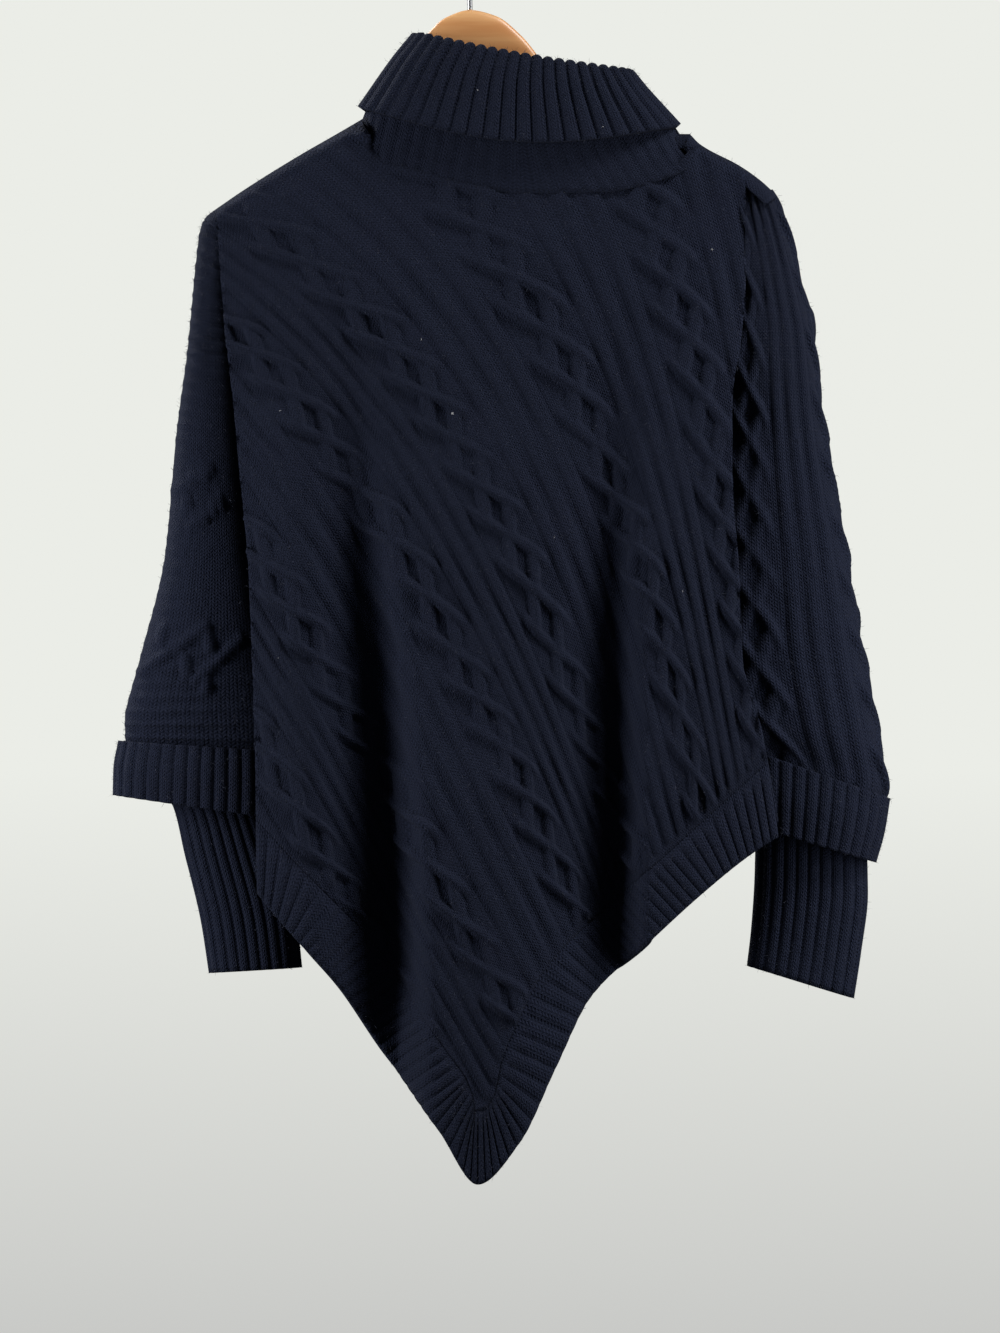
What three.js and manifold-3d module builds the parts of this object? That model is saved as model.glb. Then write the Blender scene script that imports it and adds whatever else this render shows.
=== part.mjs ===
// Knitted poncho sweater on a wooden hanger, in millimetres, +Z up.
// The origin is where the hook rests on a rail. The shown side faces -Y.
// h is the distance down from the hook, so a point's z is -h.
import * as THREE from "three";
import { mergeVertices } from "three/addons/utils/BufferGeometryUtils.js";
import Module from "manifold-3d";

const manifold = await Module();
manifold.setup();

// Cloth: wall, seam gap, and how far the knit stands out of the wall
const WALL = 3;
const SEAM = 0.3;
const RIB_RELIEF = 2.2;
const CABLE_RELIEF = 4.2;
const EDGE_RIB_RELIEF = 1.8;
const SLEEVE_RELIEF = 0.8;
const COURSE_STEP = 15;
const FLAT_ENOUGH = 2;
const TRIM_TOLERANCE = 0.4;

// Hem strips: depth square to the edge, and along the sides and the tip
const HEM_WIDTH = 42;
const HEM_END_WIDTH = 58;
const HEM_RIB = 9;
const HEM_GAP = 1.7;
const TIP_X = 2.3;
const BACK_HEM_RAISE = 12;

// Shoulder strips: half width, height of the arch, and the seam below the shoulder line
const STRIP_HALF = 18;
const STRIP_HEIGHT = 12;
const STRIP_SEAM = 15.9;
const STRIP_STEP = 22;

// Underarm: the back's side edges come forward between these two heights
const UNDERARM_TOP = 285;
const UNDERARM_LOW = 328;
const SIDE_TURN = 32;
const SHEET_GAP = 2.2;

// Hanger and hook
const HANGER_THICK = 13;
const HANGER_BEVEL = 2.5;
const HOOK_WIRE = 2;
const HOOK_RADIUS = 19;
const STEM_X = -3.9;
const CROWN_H = 62;

// Colours
const YARN = 0x1a1c27;
const WOOD = 0xcd945c;
const STEEL = 0x9a9da0;

// Side edges of the body, from the shoulder down
const BODY_SIDES = [
  { h: 200, left: -200.3, right: 209.2 },
  { h: 257, left: -197.6, right: 209.6 },
  { h: 314, left: -192.5, right: 206.4 },
  { h: 364, left: -186.8, right: 198.8 },
  { h: 426, left: -181.0, right: 198.6 },
  { h: 488, left: -174.4, right: 203.0 },
  { h: 566, left: -171.4, right: 206.2 },
  { h: 624, left: -169.5, right: 222.0 },
  { h: 680, left: -168.3, right: 230.2 },
  { h: 702, left: -168.0, right: 234.0 },
  { h: 1000, left: -167.0, right: 240.0 },
];

// Shoulder lines, from the hanger's ends to the neck
const SHOULDER_LEFT = [
  { x: -214, h: 229 },
  { x: -207.7, h: 221.7 },
  { x: -196.1, h: 213.1 },
  { x: -174.4, h: 198.4 },
  { x: -135.6, h: 174.4 },
  { x: -104.6, h: 156.6 },
  { x: -84, h: 144.5 },
];
const SHOULDER_RIGHT = [
  { x: 166.6, h: 158.1 },
  { x: 174.4, h: 166.0 },
  { x: 205.4, h: 182.9 },
  { x: 220.9, h: 193.8 },
  { x: 232.5, h: 204.6 },
  { x: 240, h: 214 },
];
const STRIP_LEFT = { from: -91, to: -207 };
const STRIP_RIGHT = { from: 178.5, to: 231.5 };

// Neck seam on the shown side
const NECK = [
  { x: -86, h: 147 },
  { x: -78.3, h: 173 },
  { x: -35.7, h: 189 },
  { x: 2.3, h: 199.2 },
  { x: 40.3, h: 202.3 },
  { x: 98.4, h: 201.5 },
  { x: 136.4, h: 194.5 },
  { x: 166.6, h: 178 },
  { x: 173, h: 166 },
];
const NECK_CORNERS = { left: -82.5, right: 171 };
const NECK_BACK_DIP = 14;
const NECK_LIFT = 2.3;

// Hem edge on the shown side, pointed in the middle
const HEM = [
  { x: -175, h: 736 },
  { x: -165.1, h: 748.6 },
  { x: -137.2, h: 781.2 },
  { x: -104.6, h: 816.9 },
  { x: -69.8, h: 869.6 },
  { x: -27.1, h: 928.5 },
  { x: TIP_X, h: 968.8 },
  { x: 34.9, h: 936.2 },
  { x: 62.0, h: 880.4 },
  { x: 89.1, h: 826.1 },
  { x: 127.9, h: 789.0 },
  { x: 174.4, h: 746.3 },
  { x: 210.8, h: 716.9 },
  { x: 234.0, h: 702.0 },
  { x: 245.0, h: 697.0 },
];

// Folds of the front: where each crest and trough runs, and how far it stands forward
const FOLDS = ["left", "rise", "dip", "lip", "mid", "slope", "gap", "flap", "right"];
const FOLD_PLACE = [
  { h: 150, left: -204, rise: -159, dip: -97, lip: -66, mid: 4, slope: 66, gap: 112, flap: 143, right: 209 },
  { h: 290, left: -196, rise: -155, dip: -101, lip: -70, mid: 4, slope: 66, gap: 108, flap: 140, right: 209 },
  { h: 390, left: -183, rise: -151, dip: -93, lip: -64, mid: 4, slope: 64, gap: 106, flap: 136, right: 199 },
  { h: 490, left: -175, rise: -145, dip: -85, lip: -57, mid: 5, slope: 63, gap: 106, flap: 134, right: 203 },
  { h: 590, left: -170, rise: -140, dip: -72, lip: -42, mid: 10, slope: 64, gap: 109, flap: 134, right: 216 },
  { h: 675, left: -168, rise: -136, dip: -67, lip: -37, mid: 13, slope: 66, gap: 111, flap: 134, right: 231 },
  { h: 775, left: -168, rise: -132, dip: -63, lip: -32, mid: 15, slope: 66, gap: 109, flap: 136, right: 240 },
  { h: 915, left: -167, rise: -120, dip: -60, lip: -30, mid: 15, slope: 66, gap: 109, flap: 138, right: 244 },
];
const FOLD_DEPTH = [
  { h: 150, left: 17, rise: 20, dip: 22, lip: 25, mid: 28, slope: 28, gap: 25, flap: 23, right: 17 },
  { h: 230, left: 18, rise: 26, dip: 28, lip: 31, mid: 34, slope: 33, gap: 31, flap: 28, right: 18 },
  { h: 310, left: 29, rise: 37, dip: 33, lip: 37, mid: 42, slope: 40, gap: 35, flap: 37, right: 29 },
  { h: 390, left: 41, rise: 50, dip: 36, lip: 46, mid: 50, slope: 45, gap: 37, flap: 46, right: 41 },
  { h: 490, left: 50, rise: 60, dip: 33, lip: 57, mid: 60, slope: 50, gap: 35, flap: 56, right: 47 },
  { h: 590, left: 56, rise: 66, dip: 30, lip: 66, mid: 68, slope: 54, gap: 32, flap: 63, right: 54 },
  { h: 675, left: 60, rise: 70, dip: 28, lip: 72, mid: 75, slope: 56, gap: 30, flap: 67, right: 57 },
  { h: 775, left: 62, rise: 72, dip: 28, lip: 76, mid: 79, slope: 58, gap: 31, flap: 68, right: 57 },
  { h: 915, left: 62, rise: 70, dip: 32, lip: 78, mid: 81, slope: 60, gap: 36, flap: 66, right: 56 },
];
const TOP_RISE = 0.42;

// Back: how far it stands behind the hanger's plane, and its soft waves
const BACK_DEPTH = [
  { h: 150, depth: 17, wave: 0 },
  { h: 230, depth: 19, wave: 1 },
  { h: 330, depth: 25, wave: 3 },
  { h: 490, depth: 33, wave: 6 },
  { h: 675, depth: 37, wave: 9 },
  { h: 960, depth: 36, wave: 11 },
];
const BACK_WAVE = { length: 118, phase: 30, lean: 0.12 };

// Where the back, coming in from each side, turns from before the sleeve to behind the hanger
const BACK_TURN = [
  { h: 285, left: -192, right: 205 },
  { h: 330, left: -187, right: 203 },
  { h: 387, left: -166, right: 185 },
  { h: 488, left: -157, right: 183 },
  { h: 558, left: -149, right: 188 },
  { h: 608, left: -141, right: 193 },
  { h: 640, left: -134, right: 195 },
  { h: 690, left: -133, right: 198 },
  { h: 765, left: -130, right: 207 },
  { h: 804, left: -125, right: 204 },
];

// Wales of the body: a point of each cable column, and its slope above, at and below that point
const WALE_SPAN = 300;
const WALES = [
  { x: 268, h: 336, above: 72, at: 84, below: 86 },
  { x: 172.8, h: 351.9, above: 58, at: 78, below: 80 },
  { x: 87.6, h: 379.8, above: 42, at: 67, below: 78 },
  { x: 0.8, h: 421.6, above: 28, at: 61, below: 70 },
  { x: -69.0, h: 461.9, above: 36, at: 58, below: 66 },
  { x: -149.6, h: 512.3, above: 50, at: 60, below: 61 },
  { x: -208.5, h: 546.4, above: 56, at: 61, below: 61 },
  { x: -282.1, h: 589.0, above: 58, at: 60, below: 60 },
];
const WALES_UP = 450;
const WALES_DOWN = 510;

// One column of knit: the lines across a cable and the three ribs beside it
const KNIT_LINES = [
  { across: -0.21, kind: "groove" },
  { across: -0.105, kind: "right" },
  { across: 0, kind: "middle" },
  { across: 0.105, kind: "left" },
  { across: 0.21, kind: "groove" },
  { across: 0.305, kind: "rib" },
  { across: 0.4, kind: "purl" },
  { across: 0.495, kind: "rib" },
  { across: 0.59, kind: "purl" },
  { across: 0.69, kind: "rib" },
];
const STRAND = {
  left: [1, 0.35, 0.2],
  middle: [0.25, 1, 0.35],
  right: [0.55, 0.2, 1],
};
const KNIT_COLUMN = 100;

// Sleeves: the inner and outer edge of each section, and its depth before and behind the hanger
const SLEEVE_LEFT = [
  { inX: -199.5, inH: 240.0, outX: -212.0, outH: 226.5, front: 16, back: 15 },
  { inX: -198.4, inH: 263.5, outX: -216.2, outH: 257.3, front: 22, back: 18 },
  { inX: -193.4, inH: 313.9, outX: -220.9, outH: 307.7, front: 24, back: 20 },
  { inX: -190.5, inH: 335.0, outX: -223.5, outH: 332.0, front: 24, back: 21 },
  { inX: -175.4, inH: 387.5, outX: -231.0, outH: 387.5, front: 25, back: 23 },
  { inX: -165.1, inH: 488.3, outX: -240.3, outH: 485.2, front: 30, back: 25 },
  { inX: -157.3, inH: 558.0, outX: -258.9, outH: 561.9, front: 32, back: 26 },
  { inX: -149.6, inH: 608.4, outX: -271.3, outH: 610.7, front: 31, back: 26 },
  { inX: -148.5, inH: 629.3, outX: -271.0, outH: 626.2, front: 28, back: 23 },
  { inX: -151.4, inH: 647.1, outX: -267.6, outH: 643.3, front: 26, back: 21 },
  { inX: -151.4, inH: 666.5, outX: -267.6, outH: 663.4, front: 26, back: 21 },
];
const SLEEVE_RIGHT = [
  { inX: 210.2, inH: 229.4, outX: 232.5, outH: 213.9, front: 16, back: 15 },
  { inX: 210.2, inH: 257.3, outX: 246.5, outH: 252.7, front: 22, back: 18 },
  { inX: 208.9, inH: 310.0, outX: 260.4, outH: 310.0, front: 24, back: 20 },
  { inX: 206.4, inH: 335.0, outX: 263.5, outH: 335.0, front: 24, back: 21 },
  { inX: 194.0, inH: 387.5, outX: 269.7, outH: 387.5, front: 25, back: 23 },
  { inX: 191.4, inH: 488.3, outX: 287.5, outH: 485.2, front: 28, back: 25 },
  { inX: 196.1, inH: 558.0, outX: 299.2, outH: 558.0, front: 30, back: 26 },
  { inX: 201.5, inH: 608.4, outX: 312.3, outH: 626.2, front: 31, back: 26 },
  { inX: 208.6, inH: 629.3, outX: 317.0, outH: 662.6, front: 27, back: 22 },
  { inX: 213.1, inH: 652.5, outX: 307.7, outH: 685.9, front: 26, back: 21 },
  { inX: 214.7, inH: 671.1, outX: 304.6, outH: 703.7, front: 26, back: 21 },
];
const ARMHOLE = { top: 250, low: 300, front: 13, back: 11, depth: 8 };

// Turned bands round the sleeve ends, and the long cuffs below them
const BAND_LEFT = [
  { inX: -143.9, inH: 637.0, outX: -274.8, outH: 628.5, front: 32.3, back: 27.3 },
  { inX: -142.0, inH: 662.0, outX: -278.5, outH: 650.0, front: 36, back: 31 },
  { inX: -142.6, inH: 689.8, outX: -279.0, outH: 670.4, front: 34, back: 29 },
];
const BAND_RIGHT = [
  { inX: 203.8, inH: 631.6, outX: 320.1, outH: 672.7, front: 33.5, back: 28.5 },
  { inX: 204.6, inH: 662.0, outX: 316.0, outH: 698.0, front: 36, back: 31 },
  { inX: 206.9, inH: 691.3, outX: 309.3, outH: 722.3, front: 34, back: 29 },
];
const CUFF_LEFT = [
  { inX: -151.4, inH: 667.2, outX: -267.6, outH: 664.1, front: 26, back: 21 },
  { inX: -163.0, inH: 684.0, outX: -236.0, outH: 673.0, front: 22, back: 17 },
  { inX: -152.0, inH: 720.0, outX: -222.4, outH: 720.0, front: 19, back: 15 },
  { inX: -140.0, inH: 765.0, outX: -210.8, outH: 768.0, front: 20, back: 16 },
  { inX: -135.6, inH: 804.0, outX: -204.6, outH: 808.0, front: 22, back: 18 },
];
const CUFF_RIGHT = [
  { inX: 214.7, inH: 671.8, outX: 304.6, outH: 704.4, front: 26, back: 21 },
  { inX: 219.4, inH: 684.0, outX: 302.4, outH: 714.0, front: 21, back: 16 },
  { inX: 218.6, inH: 730.0, outX: 303.0, outH: 748.0, front: 20, back: 16 },
  { inX: 216.0, inH: 772.0, outX: 298.0, outH: 790.0, front: 20, back: 16 },
  { inX: 212.5, inH: 803.0, outX: 292.2, outH: 827.7, front: 22, back: 18 },
];

// Collar: from the neck seam up the stand, over the fold and down to the free edge
const COLLAR = [
  { left: -86, leftH: 147, right: 173, rightH: 166, dip: 0, front: 30, back: 20 },
  { left: -69, leftH: 120, right: 139, rightH: 150, dip: 12, front: 31, back: 21 },
  { left: -50, leftH: 92, right: 119, rightH: 118, dip: 4, front: 28, back: 20 },
  { left: -46, leftH: 83, right: 120, rightH: 112, dip: 3, front: 33, back: 25 },
  { left: -60, leftH: 100, right: 130, rightH: 124, dip: 6, front: 41, back: 32 },
  { left: -87.5, leftH: 139, right: 156.5, rightH: 153, dip: 20, front: 45, back: 36 },
];
const COLLAR_RIBS = 42;
const COLLAR_SQUARE = 2.6;

// Upper and lower outline of the wooden hanger
const HANGER = [
  { x: -206, top: 229, low: 232 },
  { x: -201, top: 223.5, low: 236 },
  { x: -174.4, top: 204, low: 224 },
  { x: -135.6, top: 179.2, low: 203 },
  { x: -104.6, top: 161.6, low: 186 },
  { x: -84, top: 152.5, low: 174 },
  { x: -64, top: 128, low: 160 },
  { x: -50, top: 106, low: 148 },
  { x: -38.8, top: 83, low: 138 },
  { x: -22, top: 67.5, low: 127 },
  { x: STEM_X, top: CROWN_H, low: 121 },
  { x: 16, top: 66.5, low: 121 },
  { x: 36, top: 82, low: 128 },
  { x: 59.7, top: 110.8, low: 142 },
  { x: 90, top: 135, low: 157 },
  { x: 130, top: 159, low: 179 },
  { x: 174.4, top: 174, low: 196 },
  { x: 205.4, top: 189, low: 211 },
  { x: 218, top: 200.5, low: 216 },
  { x: 226, top: 210.5, low: 215 },
];

// A point of the part, from its distance right, back and down
function place(x, y, h) {
  return new THREE.Vector3(x, y, -h);
}

function mix(a, b, t) {
  return a + (b - a) * t;
}

function ease(low, high, value) {
  return THREE.MathUtils.smoothstep(value, Math.min(low, high), Math.max(low, high));
}

// Slope of a smooth curve through a table's rows, level at each crest and trough
function rowSlope(table, key, column, i) {
  if (i <= 0 || i >= table.length - 1) {
    const j = Math.min(Math.max(i, 1), table.length - 1);
    return (table[j][column] - table[j - 1][column]) / (table[j][key] - table[j - 1][key]);
  }
  const before = (table[i][column] - table[i - 1][column]) / (table[i][key] - table[i - 1][key]);
  const after = (table[i + 1][column] - table[i][column]) / (table[i + 1][key] - table[i][key]);
  return before * after > 0 ? (2 * before * after) / (before + after) : 0;
}

// Smooth value of a table's column, at a value of its key column
function read(table, key, column, at) {
  const last = table.length - 1;
  if (at <= table[0][key]) return table[0][column];
  if (at >= table[last][key]) return table[last][column];
  let i = 0;
  while (at > table[i + 1][key]) i += 1;
  const width = table[i + 1][key] - table[i][key];
  const t = (at - table[i][key]) / width;
  const rise = (3 - 2 * t) * t * t;
  const leave = t * (1 - t) * (1 - t) * width * rowSlope(table, key, column, i);
  const arrive = t * t * (t - 1) * width * rowSlope(table, key, column, i + 1);
  return mix(table[i][column], table[i + 1][column], rise) + leave + arrive;
}

// Height of the cloth's top edge, and how far forward it lies there
function topLine(x) {
  if (x < NECK_CORNERS.left) return read(SHOULDER_LEFT, "x", "h", x) + STRIP_SEAM;
  if (x > NECK_CORNERS.right) return read(SHOULDER_RIGHT, "x", "h", x) + STRIP_SEAM;
  return read(NECK, "x", "h", x) + SEAM;
}

function ringReach(share) {
  return (1 - Math.min(Math.abs(share), 1) ** COLLAR_SQUARE) ** (1 / COLLAR_SQUARE);
}

function neckShare(x) {
  return (2 * x - COLLAR[0].left - COLLAR[0].right) / (COLLAR[0].right - COLLAR[0].left);
}

// How far the front stands forward of the hanger's plane
function frontDepth(x, h) {
  const section = FOLDS.map((fold) => ({
    x: read(FOLD_PLACE, "h", fold, h),
    depth: read(FOLD_DEPTH, "h", fold, h),
  }));
  const hung = read(section, "x", "depth", x);
  const atTop = Math.max(STRIP_HALF, COLLAR[0].front * ringReach(neckShare(x)));
  return Math.min(hung, atTop + TOP_RISE * Math.max(h - topLine(x), 0));
}

// The back's plane, which comes forward at the sides to pass before the sleeves
function backDepth(x, h) {
  const wave = Math.cos((2 * Math.PI * (x - BACK_WAVE.phase - BACK_WAVE.lean * h)) / BACK_WAVE.length);
  const hung = read(BACK_DEPTH, "h", "depth", h) + read(BACK_DEPTH, "h", "wave", h) * wave;
  const before = 2 * WALL + SHEET_GAP - frontDepth(x, h);
  const turnLeft = read(BACK_TURN, "h", "left", h);
  const turnRight = read(BACK_TURN, "h", "right", h);
  const inside = ease(turnLeft, turnLeft + SIDE_TURN, x) * (1 - ease(turnRight - SIDE_TURN, turnRight, x));
  return mix(hung, before, (1 - inside) * ease(UNDERARM_TOP, UNDERARM_LOW, h));
}

// Slope of a wale, at a distance along it
function waleSlope(wale, along) {
  const t = THREE.MathUtils.clamp(along / WALE_SPAN, -1.35, 1);
  const bend = (wale.below + wale.above) / 2 - wale.at;
  return THREE.MathUtils.degToRad(wale.at + (t * (wale.below - wale.above)) / 2 + t * t * bend);
}

// The point at a distance along a wale
function waleStep(wale, along) {
  const steps = Math.ceil(Math.abs(along) / COURSE_STEP);
  const step = steps ? along / steps : 0;
  const point = { x: wale.x, h: wale.h };
  for (let i = 0; i < steps; i += 1) {
    const slope = waleSlope(wale, step * (i + 0.5));
    point.x += Math.cos(slope) * step;
    point.h += Math.sin(slope) * step;
  }
  return point;
}

// The place of a knit line on one course: the column counts across the wales
function knitPlace(column, along) {
  const course = WALES.map((wale, i) => ({ column: i, ...waleStep(wale, along) }));
  return { x: read(course, "column", "x", column), h: read(course, "column", "h", column) };
}

// Every knit line over a number of columns, the coarse ones at even places
function knitLines(columns) {
  const lines = [];
  for (let column = 0; column < columns; column += 1) {
    KNIT_LINES.forEach((line) => lines.push({ at: column + line.across, kind: line.kind }));
  }
  lines.push({ at: columns + KNIT_LINES[0].across, kind: "groove" });
  return lines;
}

// How far a knit line stands out of the wall on one course
function knitRelief(kind, course) {
  if (kind === "rib") return RIB_RELIEF;
  return STRAND[kind] ? CABLE_RELIEF * STRAND[kind][((course % 3) + 3) % 3] : 0;
}

// Joins two rows of points, each with its place along the row, by a strip of triangles
function zip(faces, first, second) {
  let i = 0;
  let j = 0;
  while (i < first.length - 1 || j < second.length - 1) {
    const nextFirst = i < first.length - 1 ? first[i + 1].at : Infinity;
    const nextSecond = j < second.length - 1 ? second[j + 1].at : Infinity;
    if (nextFirst <= nextSecond) {
      faces.push([first[i].point, first[i + 1].point, second[j].point]);
      i += 1;
    } else {
      faces.push([first[i].point, second[j + 1].point, second[j].point]);
      j += 1;
    }
  }
}

// A closed geometry from triangles, turned so that its faces point out
function closedGeometry(faces) {
  let volume = 0;
  const cross = new THREE.Vector3();
  faces.forEach(([a, b, c]) => {
    volume += a.dot(cross.crossVectors(b, c));
  });
  const turned = volume < 0 ? faces.map(([a, b, c]) => [a, c, b]) : faces;
  const geometry = new THREE.BufferGeometry();
  const values = turned.flatMap((face) => face.flatMap((point) => point.toArray()));
  geometry.setAttribute("position", new THREE.Float32BufferAttribute(values, 3));
  return mergeVertices(geometry, 1e-4);
}

// A wall of cloth. skin(row, column) gives its plain outer and inner point, and relief(row, column) what the
// knit adds outside. Odd columns lie midway between their neighbours, and so do odd rows where fineRows is set.
// With sameSplit the inner squares are split along the same diagonals as the outer ones.
function clothWall({ rows, columns, skin, relief, round = false, fineRows = false, sameSplit = false }) {
  const grid = [];
  const rowStep = fineRows ? 2 : 1;
  for (let row = 0; row <= rows; row += rowStep) {
    grid[row] = [];
    for (let column = 0; column <= columns; column += 2) {
      grid[row][column] = round && column === columns ? grid[row][0] : skin(row, column);
    }
  }
  const between = (a, b) => ({
    outer: a.outer.clone().lerp(b.outer, 0.5),
    inner: a.inner.clone().lerp(b.inner, 0.5),
  });
  const base = (row, column) => {
    const oddRow = row % rowStep !== 0;
    const oddColumn = column % 2 !== 0;
    if (!oddRow && !oddColumn) return grid[row][column];
    if (!oddRow) return between(grid[row][column - 1], grid[row][column + 1]);
    if (!oddColumn) return between(grid[row - 1][column], grid[row + 1][column]);
    return between(grid[row - 1][column + 1], grid[row + 1][column - 1]);
  };
  const bends = (row, column) => {
    if (column % 2 === 0) return false;
    const level = grid[row - 1][column - 1].outer.clone().add(grid[row + 1][column + 1].outer);
    const fall = grid[row - 1][column + 1].outer.clone().add(grid[row + 1][column - 1].outer);
    return level.distanceTo(fall) / 4 > FLAT_ENOUGH;
  };
  const keeps = (row, column) => {
    if (row % rowStep === 0) return true;
    const straight = (relief(row - 1, column) + relief(row + 1, column)) / 2;
    return Math.abs(relief(row, column) - straight) > 0.1 || bends(row, column);
  };
  const raised = (row, column) => {
    const { outer, inner } = base(row, column);
    const out = outer.clone().sub(inner).normalize();
    return outer.clone().addScaledVector(out, relief(row, column));
  };
  const outside = [];
  for (let column = 0; column <= columns; column += 1) {
    if (round && column === columns) {
      outside.push(outside[0]);
    } else {
      const line = [];
      for (let row = 0; row <= rows; row += 1) {
        if (keeps(row, column)) line.push({ at: row, point: raised(row, column) });
      }
      outside.push(line);
    }
  }
  const inside = [];
  for (let column = 0; column <= columns; column += 2) {
    const line = [];
    for (let row = 0; row <= rows; row += rowStep) line.push({ at: row, point: grid[row][column].inner });
    inside.push(line);
  }
  const faces = [];
  for (let column = 0; column < columns; column += 1) zip(faces, outside[column], outside[column + 1]);
  for (let i = 0; i < inside.length - 1; i += 1) {
    if (sameSplit) {
      const strip = [];
      zip(strip, inside[i], inside[i + 1]);
      strip.forEach(([a, b, c]) => faces.push([a, c, b]));
    } else {
      zip(faces, inside[i + 1], inside[i]);
    }
  }
  const topEdge = (lines, step) => lines.map((line, i) => ({ at: i * step, point: line[0].point }));
  const lowest = (line) => line[line.length - 1].point;
  const lowEdge = (lines, step) => lines.map((line, i) => ({ at: i * step, point: lowest(line) }));
  zip(faces, topEdge(outside, 1), topEdge(inside, 2));
  zip(faces, lowEdge(inside, 2), lowEdge(outside, 1));
  if (!round) {
    zip(faces, inside[0], outside[0]);
    zip(faces, outside[columns], inside[inside.length - 1]);
  }
  return closedGeometry(faces);
}

function solidOf(geometry) {
  const mesh = new manifold.Mesh({
    numProp: 3,
    vertProperties: new Float32Array(geometry.attributes.position.array),
    triVerts: new Uint32Array(geometry.index.array),
  });
  return new manifold.Manifold(mesh);
}

function geometryOf(solid) {
  const { vertProperties, triVerts } = solid.getMesh();
  const geometry = new THREE.BufferGeometry();
  geometry.setAttribute("position", new THREE.Float32BufferAttribute(vertProperties, 3));
  geometry.setIndex(new THREE.Uint32BufferAttribute(triVerts, 1));
  return geometry;
}

// A prism through the whole depth, with an outline of x and h
function prism(outline, near = -160, far = 120) {
  const shape = new THREE.Shape(outline.map((point) => new THREE.Vector2(point.x, -point.h)));
  const geometry = new THREE.ExtrudeGeometry(shape, { depth: far - near, bevelEnabled: false });
  geometry.rotateX(Math.PI / 2).translate(0, far, 0);
  geometry.deleteAttribute("normal");
  geometry.deleteAttribute("uv");
  return solidOf(mergeVertices(geometry, 1e-4));
}

// The hem's edge at one x, and the top of its strip there
function hemCross(side, share, raise) {
  const end = side === "left" ? read(BODY_SIDES, "h", "left", 745) : read(BODY_SIDES, "h", "right", 702);
  const x = mix(end, TIP_X, share);
  const low = { x, h: read(HEM, "x", "h", x) - raise };
  const slope = read(HEM, "x", "h", x + 1) - read(HEM, "x", "h", x - 1);
  const length = Math.hypot(2, slope);
  const square = { x: (HEM_WIDTH * slope) / length, h: (-HEM_WIDTH * 2) / length };
  const sideX = read(BODY_SIDES, "h", side, low.h - HEM_END_WIDTH);
  const upright = { x: share < 0.5 ? (sideX - end) * (1 - 2 * share) : 0, h: -HEM_END_WIDTH };
  const turn = Math.min(1, 4 * share, 4 * (1 - share));
  const rise = { x: mix(upright.x, square.x, turn), h: mix(upright.h, square.h, turn) };
  return { low, top: { x: low.x + rise.x, h: low.h + rise.h } };
}

// Outline of a body panel between the shoulder seams, the neck seam and the hem strips
function panelOutline(neck, raise) {
  const outline = [];
  const sideRows = BODY_SIDES.map((row) => row.h);
  const seamLow = { left: hemCross("left", 0, raise).top.h, right: hemCross("right", 0, raise).top.h };
  const cornerLeft = read(SHOULDER_LEFT, "x", "h", -200) + STRIP_SEAM;
  const cornerRight = read(SHOULDER_RIGHT, "x", "h", 209) + STRIP_SEAM + SEAM;
  const side = (name, top) => [top, ...sideRows.filter((h) => h > top + 3 && h < seamLow[name] - 3)];
  side("left", cornerLeft).forEach((h) => outline.push({ x: read(BODY_SIDES, "h", "left", h), h }));
  for (let i = 0; i <= 18; i += 1) {
    const { top } = hemCross("left", i / 18, raise);
    outline.push({ x: top.x, h: top.h - HEM_GAP });
  }
  for (let i = 26; i >= 0; i -= 1) {
    const { top } = hemCross("right", i / 27, raise);
    outline.push({ x: top.x, h: top.h - HEM_GAP });
  }
  const rising = side("right", cornerRight).reverse();
  rising.forEach((h) => outline.push({ x: read(BODY_SIDES, "h", "right", h), h }));
  [205, 198, 188].forEach((x) => outline.push({ x, h: topLine(x) }));
  neck.forEach((point) => outline.push(point));
  SHOULDER_LEFT.slice(2, -1).reverse().forEach((row) => outline.push({ x: row.x, h: topLine(row.x) }));
  return outline;
}

function frontNeck() {
  const inner = NECK.slice(1, -1).reverse();
  const points = inner.map((row) => ({ x: row.x, h: row.h + SEAM }));
  return [{ x: 177, h: topLine(177) }, ...points, { x: -86, h: topLine(-86) }];
}

// The neck seam behind, a shallow curve between the two shoulders
function backNeckLine(x) {
  const share = (x - COLLAR[0].left) / (COLLAR[0].right - COLLAR[0].left);
  const level = mix(COLLAR[0].leftH, COLLAR[0].rightH, share);
  return level + NECK_BACK_DIP * Math.sin(Math.PI * THREE.MathUtils.clamp(share, 0, 1)) ** 0.6;
}

function backNeck() {
  const points = [160, 130, 90, 43, 0, -40, -72].map((x) => ({ x, h: backNeckLine(x) + SEAM }));
  return [{ x: 177, h: topLine(177) }, ...points, { x: -86, h: topLine(-86) }];
}

// A body panel: a wall along the wales, cut to the panel's outline
function bodyPanel({ skin, mirror, outline }) {
  const lines = knitLines(WALES.length - 1);
  const courses = 2 * Math.round((WALES_UP + WALES_DOWN) / COURSE_STEP / 2);
  const places = (row, column) => {
    const point = knitPlace(lines[column].at, row * COURSE_STEP - WALES_UP);
    return skin(mirror === undefined ? point.x : 2 * mirror - point.x, point.h);
  };
  const geometry = clothWall({
    rows: courses,
    columns: lines.length - 1,
    skin: places,
    relief: (row, column) => knitRelief(lines[column].kind, row),
    fineRows: true,
  });
  return geometryOf(solidOf(geometry).intersect(prism(outline)).simplify(TRIM_TOLERANCE));
}

function frontSkin(x, h) {
  const y = -frontDepth(x, h);
  return { outer: place(x, y, h), inner: place(x, y + WALL, h) };
}

function backSkin(x, h) {
  const y = backDepth(x, h);
  return { outer: place(x, y, h), inner: place(x, y - WALL, h) };
}

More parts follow.
